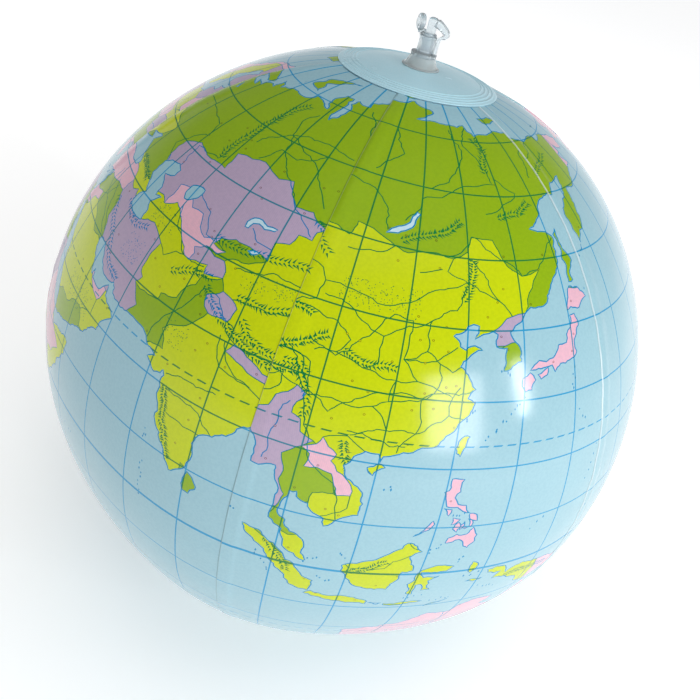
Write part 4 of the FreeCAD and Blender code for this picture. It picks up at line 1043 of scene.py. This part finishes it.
def draw_islets(sheet):
    """Islands too small for an outline, as coast-coloured specks."""
    draw = random.Random(30)
    for west, south, east, north, count in ISLET_CHAINS:
        for step in range(count):
            along = (step + 0.5) / count
            across = west + (east - west) * along + draw.uniform(-0.35, 0.35)
            up = south + (north - south) * along + draw.uniform(-0.35, 0.35)
            length, width = draw.uniform(0.16, 0.34), draw.uniform(0.1, 0.17)
            sheet.add_outline([(across - width, up), (across, up - length),
                               (across + width, up), (across, up + length)], "coast")


def draw_map(centre, sizes):
    """Draw the whole printed map of the gore with the given middle longitude."""
    sheet = PrintedSheet(centre)
    east_edge = HALF_PRINT + TAB_WIDTH
    sheet.add_outline([(centre - HALF_PRINT, PRINT_SOUTH), (centre + east_edge, PRINT_SOUTH),
                       (centre + east_edge, PRINT_NORTH), (centre - HALF_PRINT, PRINT_NORTH)],
                      "sheet")
    for tint, text in COUNTRIES:
        border = wandering_line(read_outline(text), 0.1, 1.1, True)
        sheet.add_outline(border, tint)
        sheet.add_stroke(border, sizes.border_width, "line", True)
    coasts = []
    for text in [OLD_WORLD, AFRICA, NORTH_AMERICA, SOUTH_AMERICA, AUSTRALIA, ANTARCTICA,
                 *ISLANDS.values()]:
        coast = wandering_line(read_outline(text), 0.16, 0.7, True)
        sheet.add_outline(coast, "land")
        coasts.append(coast)
    for name, text in LAKES.items():
        shore = wandering_line(read_outline(text), 0.1, 0.8, True)
        sheet.add_outline(shore, "water" if name in INLAND_SEAS else "lake")
        coasts.append(shore)
    for text in LINES:
        sheet.add_stroke(wandering_line(read_outline(text), 0.13, 0.9, False),
                         sizes.river_width, "line")
    draw_ranges(sheet, sizes.river_width)
    draw_deserts(sheet)
    draw_towns(sheet)
    for coast in coasts:
        sheet.add_stroke(coast, sizes.coast_width, "coast", True)
    draw_islets(sheet)
    sheet.add_guides()
    return sheet


TINTS = ("yellow", "green", "lilac", "pink")


def colour_of(effects, palette):
    """What a spot looks like after the effects that cover it, in the order of printing."""
    tint, mark, land = "green", None, False
    for effect in effects:
        if effect in TINTS:
            tint, mark = effect, None
        elif effect == "land":
            land = True
        elif effect == "water":
            land, mark = False, None
        elif effect == "lake":
            tint, mark = "lake", None
        elif effect == "clear":
            mark = None
        elif effect != "sheet":
            mark = effect
    if mark == "coast":
        return palette["coast"]
    if not land:
        return palette["sea"]
    shown = palette[tint]
    if mark == "line" and tint in ("yellow", "green"):
        return palette["land_line"]
    if mark == "line":
        return tuple(part * ink for part, ink in zip(shown, palette["overprint"]))
    if mark == "town":
        return tuple(part * ink for part, ink in zip(shown, (0.4, 0.25, 0.25)))
    return shown


# ---------------------------------------------------------------------------
# The blown-up film
# ---------------------------------------------------------------------------

def on_ball(longitude, latitude, level):
    """The point over a longitude and latitude, a level above the gores' nominal outside."""
    up = latitude * DEGREE
    swing = up + math.asin(ARC_OFFSET * math.sin(up) / GORE_RADIUS)
    reach = ARC_OFFSET + (GORE_RADIUS + level) * math.cos(swing)
    azimuth = (longitude - 180.0) * DEGREE
    return Vector((reach * math.cos(azimuth), reach * math.sin(azimuth),
                   BALL_CENTRE + (GORE_RADIUS + level) * math.sin(swing)))


def smooth_step(value):
    """0 below 0, 1 above 1 and a smooth S between them."""
    value = min(max(value, 0.0), 1.0)
    return value * value * (3 - 2 * value)


def pucker(seam, latitude, distance, height):
    """The small waves that a weld draws into the film, fading away from the seam."""
    short_wave, long_wave, fade = 2.1, 3.4, 9 * MM
    along = latitude * MM_PER_DEGREE
    wave = math.sin(along / short_wave + seam) + 0.6 * math.sin(along / long_wave + seam * 2)
    return height * wave * math.exp(-distance / fade) * math.cos(latitude * DEGREE)


def film_point(middle, offset, print_latitude, depth, sizes):
    """The film's outside at a place of the printed sheet, or a depth inside it."""
    lap_slope, edge_radius, under_lap = 3 * MM, 0.3 * MM, 2.1
    real = offset * PRINT_STRETCH
    longitude = middle + real
    latitude = print_latitude * LATITUDE_SCALE + LATITUDE_SHIFT
    width = EQUATOR_RADIUS * math.cos(latitude * DEGREE) * DEGREE
    from_west = (real + HALF_GORE) * width
    from_east = (HALF_GORE - real) * width
    if from_east < -0.02 * MM:
        return on_ball(longitude, latitude, -sizes.film * under_lap - depth)
    lobe = sizes.lobe_depth * math.cos(latitude * DEGREE) ** 2 * (
        0.5 + 0.5 * math.cos(6 * real * DEGREE))
    lap = sizes.film * (1 - smooth_step((from_west - sizes.lap) / lap_slope))
    rounding = min(from_west / edge_radius, 1.0)
    edge = sizes.film * (1 - math.sqrt(max(1 - (1 - rounding) ** 2, 0.0)))
    waves = pucker(middle - HALF_GORE, latitude, max(from_west, 0), sizes.pucker_height) + \
        pucker(middle + HALF_GORE, latitude, max(from_east, 0), sizes.pucker_height)
    level = -sizes.film - lobe + lap - edge + waves
    return on_ball(longitude, latitude, level - depth)


def boundary_loop(faces):
    """The points round the edge of a sheet of triangles, in order."""
    sides = {}
    for face in faces:
        for start, end in zip(face, face[1:] + face[:1]):
            sides[start, end] = True
    following = {start: end for start, end in sides if (end, start) not in sides}
    loop = [next(iter(following))]
    while following[loop[-1]] != loop[0]:
        loop.append(following[loop[-1]])
    return loop


def inner_skin(points, loop):
    """A coarse sheet with the same edge; returns its extra points and its triangles."""
    edge = [points[index] for index in loop]
    extra = [Vector((east * HALF_PRINT / 12, north))
             for east in range(-11, 12) for north in range(-77, 80, 3)]
    made, _, faces, sources, _, _ = delaunay_2d_cdt(
        edge + extra, [], [list(range(len(edge)))], 1, 1e-7, True)
    return made, faces, [source[0] if source else None for source in sources]


def gore_palette(name, colours):
    """The inks of one gore, a touch darker or lighter than its neighbours'."""
    tone = random.Random(name).uniform(0.97, 1.0)
    palette = {key: tuple(part * tone for part in getattr(colours, key))
               for key in (*TINTS, "sea", "lake", "coast")}
    palette["overprint"] = tuple(colours.overprint)
    palette["land_line"] = tuple(colours.land_line)
    return palette


def film_outside(middle, flat, sizes):
    """The points of a gore's outer side and the directions that the film faces there."""
    corners, normals = [], []
    nudge, turn_back = 0.01, HALF_PRINT - 0.02
    for east, north in flat:
        spot = film_point(middle, east, north, 0.0, sizes)
        ahead = film_point(middle, east + (nudge if east < turn_back else -nudge),
                           north, 0.0, sizes) - spot
        if east >= turn_back:
            ahead.negate()
        above = film_point(middle, east, north + nudge, 0.0, sizes) - spot
        corners.append(spot)
        normals.append(ahead.cross(above).normalized())
    return corners, normals


def paint_print(mesh, colours, places):
    """Store each face's printed colour and each point's place on the map."""
    paint = mesh.color_attributes.new("print_colour", "FLOAT_COLOR", "CORNER")
    values = []
    for polygon, colour in zip(mesh.polygons, colours):
        values += [*colour, 1.0] * polygon.loop_total
    paint.data.foreach_set("color", values)
    place = mesh.attributes.new("print_place", "FLOAT_VECTOR", "POINT")
    place.data.foreach_set("vector", places)


def build_gore(name, sizes, colours, material):
    """One printed gore as a closed film with its map in the mesh."""
    middle = GORE_SEAMS[name] + HALF_GORE
    sheet = draw_map(middle, sizes)
    flat, faces, covers = sheet.cut()
    used = sorted({index for face in faces for index in face})
    renumber = {old: new for new, old in enumerate(used)}
    faces = [[renumber[index] for index in face] for face in faces]
    flat = [flat[index] for index in used]

    palette = gore_palette(name, colours)
    shown = {}
    for effects in covers:
        shown.setdefault(tuple(effects), colour_of(effects, palette))
    face_colours = [shown[tuple(effects)] for effects in covers]

    corners, normals = film_outside(middle, flat, sizes)
    loop = boundary_loop(faces)
    inner_flat, inner_faces, sources = inner_skin(flat, loop)
    base = len(corners)
    matched = {}
    for index, (east, north) in enumerate(inner_flat):
        corners.append(film_point(middle, east, north, sizes.film * 0.9, sizes))
        normals.append((Vector((0, 0, BALL_CENTRE)) - corners[-1]).normalized())
        if sources[index] is not None and sources[index] < len(loop):
            matched[loop[sources[index]]] = base + index
    shell = [tuple(base + index for index in reversed(face)) for face in inner_faces]
    walls = [(end, start, matched[start], matched[end])
             for start, end in zip(loop, loop[1:] + loop[:1])]
    mesh = bpy.data.meshes.new(name + "_film")
    mesh.from_pydata(corners, [], [tuple(face) for face in faces] + shell + walls)
    mesh.polygons.foreach_set("use_smooth", [True] * len(mesh.polygons))

    unprinted = [palette["sea"]] * (len(shell) + len(walls))
    places = []
    for east, north in flat + [Vector(point) for point in inner_flat]:
        places += [east + middle, north, east]
    paint_print(mesh, face_colours + unprinted, places)
    mesh.materials.append(material)
    mesh.normals_split_custom_set_from_vertices(normals)
    return add_piece(name + "_film", mesh, "ball", [name])


# ---------------------------------------------------------------------------
# Turned and moulded pieces
# ---------------------------------------------------------------------------

def add_piece(name, mesh, body, nodes):
    """Put a finished mesh in the scene, in place of its CAD nodes, on its body if it has one."""
    piece = bpy.data.objects.new(name, mesh)
    bpy.context.scene.collection.objects.link(piece)
    if body:
        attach(piece, body)
    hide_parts(*nodes)
    return piece


def round_corner(before, corner, after, radius, steps=4):
    """Points of the arc that rounds one corner of a profile."""
    corner = Vector(corner)
    to_before, to_after = Vector(before) - corner, Vector(after) - corner
    half = to_before.angle(to_after) / 2
    if not radius or half > math.radians(88):
        return [corner]
    along = min(radius / math.tan(half), to_before.length * 0.49, to_after.length * 0.49)
    start = corner + to_before.normalized() * along
    end = corner + to_after.normalized() * along
    return [start.lerp(corner, t).lerp(corner.lerp(end, t), t)
            for t in (step / steps for step in range(steps + 1))]


def turned_mesh(name, profile, segments=128, rounding=0.0):
    """Spin a closed profile of radius and height about the polar axis."""
    if rounding:
        profile = [point for index, corner in enumerate(profile) for point in round_corner(
            profile[index - 1], corner, profile[(index + 1) % len(profile)], rounding)]
    shape = bmesh.new()
    ring = [shape.verts.new((point[0], 0.0, point[1])) for point in profile]
    sides = [shape.edges.new((start, end)) for start, end in zip(ring, ring[1:] + ring[:1])]
    bmesh.ops.spin(shape, geom=ring + sides, cent=(0, 0, 0), axis=(0, 0, 1), angle=math.tau,
                   steps=segments, use_merge=True)
    bmesh.ops.remove_doubles(shape, verts=shape.verts, dist=1e-6)
    bmesh.ops.recalc_face_normals(shape, faces=shape.faces)
    return finish_mesh(name, shape)


def finish_mesh(name, shape):
    """Turn a bmesh into a smooth-shaded mesh."""
    for face in shape.faces:
        face.smooth = True
    mesh = bpy.data.meshes.new(name)
    shape.to_mesh(mesh)
    shape.free()
    return mesh


def cap_profile(near, sizes):
    """Section of a pole cap as pairs of radius and height above the ball's middle."""
    rim_radius, rib_radius, rib_pitch, rib_height = 35 * MM, 33.2 * MM, 1.8 * MM, 0.22 * MM
    rib_count, rib_half_width = 4, rib_height * 1.6
    outer = GORE_RADIUS + sizes.film

    def height(reach, radius):
        return math.sqrt(radius ** 2 - (reach - ARC_OFFSET) ** 2)

    reaches = [near + (rim_radius - near) * step / 40 for step in range(41)]
    for rib in range(rib_count):
        middle = rib_radius - rib * rib_pitch
        reaches += [middle + rib_half_width * step / 5 for step in range(-5, 6)]
    top = []
    for reach in sorted(set(reaches)):
        level = 0.0
        for rib in range(rib_count):
            across = (reach - rib_radius + rib * rib_pitch) / rib_half_width
            if abs(across) < 1:
                level = max(level, rib_height * math.sqrt(1 - across ** 2))
        top.append((reach, height(reach, outer) + level))
    edge = [(rim_radius + 0.12 * MM, height(rim_radius, outer) - 0.1 * MM),
            (rim_radius + 0.14 * MM, height(rim_radius, outer) - 0.3 * MM)]
    under = [(reach, height(reach, GORE_RADIUS)) for reach in
             (rim_radius - (rim_radius - near) * step / 20 for step in range(21))]
    return top + edge + under


def build_caps(sizes, material):
    """Both pole caps, the northern one with the valve's hole."""
    valve_hole = 7.1 * MM
    section = [(reach, BALL_CENTRE + up) for reach, up in cap_profile(valve_hole, sizes)]
    north = turned_mesh("north_cap_film", section, 192)
    closed = [(reach, BALL_CENTRE - up) for reach, up in cap_profile(ARC_OFFSET, sizes)]
    outer, inner = closed[0][1], closed[-1][1]
    south = turned_mesh("south_cap_film", [(0, outer)] + closed + [(0, inner)], 192)
    for mesh in (north, south):
        mesh.materials.append(material)
    return [add_piece("north_cap_film", north, "ball", ["north_cap"]),
            add_piece("south_cap_film", south, "ball", ["south_cap"])]


def at_valve(points):
    """Profile points in millimetres above the cap, in metres in the frame."""
    return [(reach * MM, CAP_TOP + up * MM) for reach, up in points]


def build_skirt(material):
    """The flexible cone with its foot bead, between the ball and the stem."""
    profile = at_valve([(6.4, -1.1), (7.2, -1.1), (7.2, -0.1), (8.3, 0.05), (8.1, 0.5), (7.1, 0.75),
                        (6.55, 1.8), (5.9, 3.2), (5.4, 4.6), (4.6, 4.6), (5.2, 2.9), (6.4, 0.1)])
    mesh = turned_mesh("valve_skirt_cone", profile, 96, 0.3 * MM)
    mesh.materials.append(material)
    return add_piece("valve_skirt_cone", mesh, None, ["valve_skirt"])


def build_stem(material):
    """The stem: inner tube, shoulder, neck and the beaded mouth."""
    profile = at_valve([
        (2.2, -2.6), (3.8, -2.6), (3.8, 4.6), (5.6, 4.6), (5.6, 6.0), (3.9, 6.15), (3.6, 6.7),
        (3.6, 11.6), (3.8, 11.9), (3.8, 12.8), (2.2, 12.8)])
    mesh = turned_mesh("valve_stem_tube", profile, 96, 0.28 * MM)
    mesh.materials.append(material)
    return add_piece("valve_stem_tube", mesh, "stem", ["valve_stem"])


def moulded_mesh(name, shapes, voxel, rounds):
    """Melt overlapping closed shapes into one softly rounded moulding."""
    whole = bmesh.new()
    for shape in shapes:
        part = bpy.data.meshes.new("part")
        shape.to_mesh(part)
        shape.free()
        whole.from_mesh(part)
        bpy.data.meshes.remove(part)
    mesh = finish_mesh(name, whole)
    holder = bpy.data.objects.new(name, mesh)
    bpy.context.scene.collection.objects.link(holder)
    melt = holder.modifiers.new("melt", "REMESH")
    melt.mode = "VOXEL"
    melt.voxel_size = voxel
    melt.use_smooth_shade = True
    soften = holder.modifiers.new("soften", "CORRECTIVE_SMOOTH")
    soften.iterations = rounds
    soften.use_only_smooth = True
    soften.factor = 0.5
    done = bpy.data.meshes.new_from_object(
        holder.evaluated_get(bpy.context.evaluated_depsgraph_get()))
    bpy.data.objects.remove(holder)
    bpy.data.meshes.remove(mesh)
    done.name = name
    done.materials.clear()
    return done


def rounded_block(low, high, bevel):
    """A box between two corners in millimetres above the cap, with rounded edges."""
    shape = bmesh.new()
    bmesh.ops.create_cube(shape, size=1.0)
    size = [(top - bottom) * MM for bottom, top in zip(low, high)]
    middle = [(top + bottom) / 2 * MM for bottom, top in zip(low, high)]
    bmesh.ops.scale(shape, vec=size, verts=shape.verts)
    bmesh.ops.translate(shape, vec=(middle[0], middle[1], middle[2] + CAP_TOP),
                        verts=shape.verts)
    bmesh.ops.bevel(shape, geom=shape.edges[:], offset=bevel * MM, offset_type="OFFSET",
                    segments=4, profile=0.5, affect="EDGES", material=-1)
    return shape


def disc(radius, thickness, centre, turn, bevel, stretch=1.0):
    """A round tab that faces sideways, turned about the valve's axis."""
    shape = bmesh.new()
    bmesh.ops.create_cone(shape, cap_ends=True, segments=64, radius1=radius * MM,
                          radius2=radius * MM, depth=thickness * MM)
    rims = [edge for edge in shape.edges if abs(edge.verts[0].co.z - edge.verts[1].co.z) < 1e-7]
    bmesh.ops.bevel(shape, geom=rims, offset=bevel * MM, offset_type="OFFSET", segments=4,
                    profile=0.5, affect="EDGES", material=-1)
    bmesh.ops.scale(shape, vec=(stretch, 1, 1), verts=shape.verts)
    bmesh.ops.rotate(shape, cent=(0, 0, 0), matrix=Matrix.Rotation(math.pi / 2, 3, "Y"),
                     verts=shape.verts)
    bmesh.ops.rotate(shape, cent=(0, 0, 0), matrix=Matrix.Rotation(math.radians(turn), 3, "Z"),
                     verts=shape.verts)
    bmesh.ops.translate(shape, verts=shape.verts, vec=(
        centre[0] * MM, centre[1] * MM, CAP_TOP + centre[2] * MM))
    return shape


def upright_cylinder(low_radius, high_radius, low, high):
    """A closed tapered cylinder on the valve's axis, in millimetres above the cap."""
    shape = bmesh.new()
    bmesh.ops.create_cone(shape, cap_ends=True, segments=64, radius1=low_radius * MM,
                          radius2=high_radius * MM, depth=(high - low) * MM)
    bmesh.ops.translate(shape, verts=shape.verts,
                        vec=(0, 0, CAP_TOP + (high + low) / 2 * MM))
    return shape


def build_plug(material):
    """The stopper: shank, collar, domed knob, web and a round pull tab, as one moulding."""
    shapes = [
        upright_cylinder(1.7, 2.1, 6.8, 8.0),
        upright_cylinder(2.1, 2.1, 7.9, 13.1),
        upright_cylinder(3.3, 3.3, 12.95, 13.8),
        rounded_block((-1.6, -2.2, 13.2), (2.4, 2.2, 20.1), 1.3),
        rounded_block((-4.9, -1.1, 12.95), (0.0, 1.1, 14.9), 0.4),
        disc(3.35, 2.3, (-4.5, 0, 17.1), 32, 0.7),
        disc(2.0, 2.8, (-4.5, 0, 17.1), 32, 0.8),
    ]
    mesh = moulded_mesh("valve_plug_knob", shapes, 0.13 * MM, 6)
    mesh.materials.append(material)
    return add_piece("valve_plug_knob", mesh, "plug", ["valve_plug"])


def build_strap(material):
    """The folded band between the neck and the knob."""
    half_width = 2.05
    # Distance from the axis, height above the cap and half thickness, in millimetres.
    centre_line = [(4.55, 6.05, 0.66), (4.55, 8.5, 0.66), (4.55, 11.0, 0.66),
                   (4.8, 12.6, 0.66), (5.6, 13.4, 0.66), (6.9, 13.8, 0.7), (7.6, 14.5, 0.85),
                   (7.35, 15.35, 1.0), (6.4, 16.1, 1.15), (5.1, 16.95, 1.3),
                   (3.6, 17.75, 1.45), (1.9, 18.4, 1.5)]
    shape = bmesh.new()
    sides = []
    for index, (reach, height, half) in enumerate(centre_line):
        before = Vector(centre_line[max(index - 1, 0)][:2])
        after = Vector(centre_line[min(index + 1, len(centre_line) - 1)][:2])
        across = (after - before).normalized().orthogonal() * half
        middle = Vector((reach, height))
        sides.append([middle + across, middle - across])
    rings = []
    for left, right in sides:
        rings.append([
            shape.verts.new((spot[0] * MM, side * half_width * MM, CAP_TOP + spot[1] * MM))
            for spot, side in ((left, -1), (left, 1), (right, 1), (right, -1))])
    for ring, following in zip(rings, rings[1:]):
        for corner in range(4):
            nearby = (corner + 1) % 4
            shape.faces.new((ring[corner], ring[nearby], following[nearby], following[corner]))
    shape.faces.new(rings[0])
    shape.faces.new(rings[-1])
    bmesh.ops.recalc_face_normals(shape, faces=shape.faces)
    mesh = moulded_mesh("plug_strap_band", [shape], 0.12 * MM, 8)
    mesh.materials.append(material)
    return add_piece("plug_strap_band", mesh, None, ["plug_strap"])


# ---------------------------------------------------------------------------
# The stage
# ---------------------------------------------------------------------------

# Name, azimuth from -Y towards +X, elevation, distance, size, power, and whether gloss shows it.
LIGHTS = [
    ("window_wide", 52.0, 13.0, 1.2, (0.30, 0.52), 4.2, True),
    ("window_narrow", 72.5, 17.0, 1.2, (0.07, 0.36), 1.9, True),
    ("overhead", 40.0, 82.0, 1.9, (1.6, 1.6), 17.0, False),
]
CAMERA_PLACE = (0.0549, -0.3231, 0.3680)
CAMERA_AZIMUTH, CAMERA_ELEVATION, CAMERA_ROLL = 9.0, 34.57, 15.63
CAMERA_LENS = 37.63
FLOOR_REACH = 14.0
HORIZON_COLOUR = (0.72, 0.73, 0.75, 1)
SKY_COLOUR = (0.2, 0.205, 0.21, 1)
SKY_HEIGHT = 0.4


def add_floor():
    """A wide pale floor under the ball."""
    shape = bmesh.new()
    bmesh.ops.create_grid(shape, x_segments=8, y_segments=8, size=FLOOR_REACH)
    floor = bpy.data.objects.new("floor", finish_mesh("floor", shape))
    floor.data.materials.append(finish_material("floor_paint"))
    bpy.context.scene.collection.objects.link(floor)


def add_world(scene):
    """Soft light from all round, palest along the horizon."""
    world = bpy.data.worlds.new("studio")
    world.use_nodes = True
    nodes, links = world.node_tree.nodes, world.node_tree.links
    direction = nodes.new("ShaderNodeTexCoord")
    split = nodes.new("ShaderNodeSeparateXYZ")
    sky = nodes.new("ShaderNodeValToRGB")
    sky.color_ramp.elements[0].color = HORIZON_COLOUR
    sky.color_ramp.elements[1].color = SKY_COLOUR
    sky.color_ramp.elements[1].position = SKY_HEIGHT
    links.new(direction.outputs["Generated"], split.inputs[0])
    links.new(split.outputs["Z"], sky.inputs[0])
    links.new(sky.outputs["Color"], nodes["Background"].inputs["Color"])
    scene.world = world


def away_from_ball(azimuth, elevation):
    """The direction with an azimuth from -Y towards +X and an elevation above the floor."""
    azimuth, elevation = math.radians(azimuth), math.radians(elevation)
    return Vector((math.sin(azimuth) * math.cos(elevation),
                   -math.cos(azimuth) * math.cos(elevation), math.sin(elevation)))


def add_light(name, azimuth, elevation, distance, size, power, seen_in_gloss):
    """A soft rectangular light that points at the ball's middle."""
    data = bpy.data.lights.new(name, "AREA")
    data.shape = "RECTANGLE"
    data.size, data.size_y = size
    data.energy = power
    away = away_from_ball(azimuth, elevation)
    light = bpy.data.objects.new(name, data)
    light.location = Vector((0, 0, BALL_CENTRE)) + away * distance
    light.rotation_euler = (-away).to_track_quat("-Z", "Y").to_euler()
    light.visible_glossy = seen_in_gloss
    bpy.context.scene.collection.objects.link(light)


def add_camera(scene):
    """The camera, above the equator and rolled to one side."""
    back = away_from_ball(CAMERA_AZIMUTH, CAMERA_ELEVATION)
    level_right = Vector((0, 0, 1)).cross(back).normalized()
    right = Matrix.Rotation(math.radians(CAMERA_ROLL), 3, back) @ level_right
    up = back.cross(right)
    data = bpy.data.cameras.new("camera")
    data.lens = CAMERA_LENS
    data.sensor_width = 36.0
    data.clip_start = 0.01
    camera = bpy.data.objects.new("camera", data)
    camera.matrix_world = Matrix.Translation(CAMERA_PLACE) @ Matrix(
        (right, up, back)).transposed().to_4x4()
    scene.collection.objects.link(camera)
    scene.camera = camera


# ---------------------------------------------------------------------------
# Operators
# ---------------------------------------------------------------------------

def finish_material(name):
    """The material of that name, made once."""
    found = bpy.data.materials.get(name)
    if found:
        return found
    scene = bpy.context.scene
    makers = {
        "printed_film": lambda: make_printed_vinyl(scene.globe_sizes, scene.globe_colours),
        "cap_film": lambda: make_cap_vinyl(scene.globe_colours),
        "clear_moulding": lambda: make_clear_vinyl(
            "clear_moulding", 0.75, (0.88, 0.95, 0.97), (0.68, 0.77, 0.86)),
        "clear_cone": lambda: make_clear_vinyl(
            "clear_cone", 0.66, (0.94, 1.0, 1.0), (0.8, 0.92, 0.95)),
        "floor_paint": make_floor_paint_and_glow,
    }
    return makers[name]()


class GLOBE_OT_gores(bpy.types.Operator):
    """Build the six printed gores"""
    bl_idname = "globe.gores"
    bl_label = "Printed gores"

    def execute(self, context):
        scene = context.scene
        for name in GORE_SEAMS:
            build_gore(name, scene.globe_sizes, scene.globe_colours,
                       finish_material("printed_film"))
        return {"FINISHED"}


class GLOBE_OT_caps(bpy.types.Operator):
    """Build the two pole caps with their weld ribs"""
    bl_idname = "globe.caps"
    bl_label = "Pole caps"

    def execute(self, context):
        build_caps(context.scene.globe_sizes, finish_material("cap_film"))
        return {"FINISHED"}


class GLOBE_OT_valve(bpy.types.Operator):
    """Build the clear valve: skirt, stem, strap and plug"""
    bl_idname = "globe.valve"
    bl_label = "Clear valve"

    def execute(self, context):
        clear = finish_material("clear_moulding")
        skirt = build_skirt(finish_material("clear_cone"))
        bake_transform(skirt)
        build_stem(clear)
        build_plug(clear)
        strap = build_strap(clear)
        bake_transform(strap)
        for name in ("valve_flange", "check_flap"):
            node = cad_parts[name]
            node.data.materials.clear()
            node.data.materials.append(clear)
        return {"FINISHED"}


class GLOBE_OT_stage(bpy.types.Operator):
    """Build the floor, the lights and the camera"""
    bl_idname = "globe.stage"
    bl_label = "Stage"

    def execute(self, context):
        scene = context.scene
        add_floor()
        add_world(scene)
        for light in LIGHTS:
            add_light(*light)
        add_camera(scene)
        scene.view_settings.view_transform = "Standard"
        return {"FINISHED"}


class GLOBE_PT_panel(bpy.types.Panel):
    """Lists the globe ball's sizes, colours and pieces"""
    bl_idname = "GLOBE_PT_panel"
    bl_label = "Globe Ball"
    bl_space_type = "VIEW_3D"
    bl_region_type = "UI"
    bl_category = "Globe Ball"

    def draw(self, context):
        for group in (context.scene.globe_sizes, context.scene.globe_colours):
            for name in group.__annotations__:
                self.layout.prop(group, name)
        for operator in OPERATORS:
            self.layout.operator(operator.bl_idname)


OPERATORS = (GLOBE_OT_gores, GLOBE_OT_caps, GLOBE_OT_valve, GLOBE_OT_stage)
CLASSES = (GlobeSizes, GlobeColours, *OPERATORS, GLOBE_PT_panel)


def register():
    """Add the classes and the scene's settings."""
    for item in CLASSES:
        bpy.utils.register_class(item)
    bpy.types.Scene.globe_sizes = bpy.props.PointerProperty(type=GlobeSizes)
    bpy.types.Scene.globe_colours = bpy.props.PointerProperty(type=GlobeColours)


def unregister():
    """Take the classes and the settings away again."""
    del bpy.types.Scene.globe_sizes
    del bpy.types.Scene.globe_colours
    for item in reversed(CLASSES):
        bpy.utils.unregister_class(item)


def main():
    """Build every piece."""
    register()
    bpy.ops.globe.gores()
    bpy.ops.globe.caps()
    bpy.ops.globe.valve()
    bpy.ops.globe.stage()


if __name__ == "__main__":
    main()
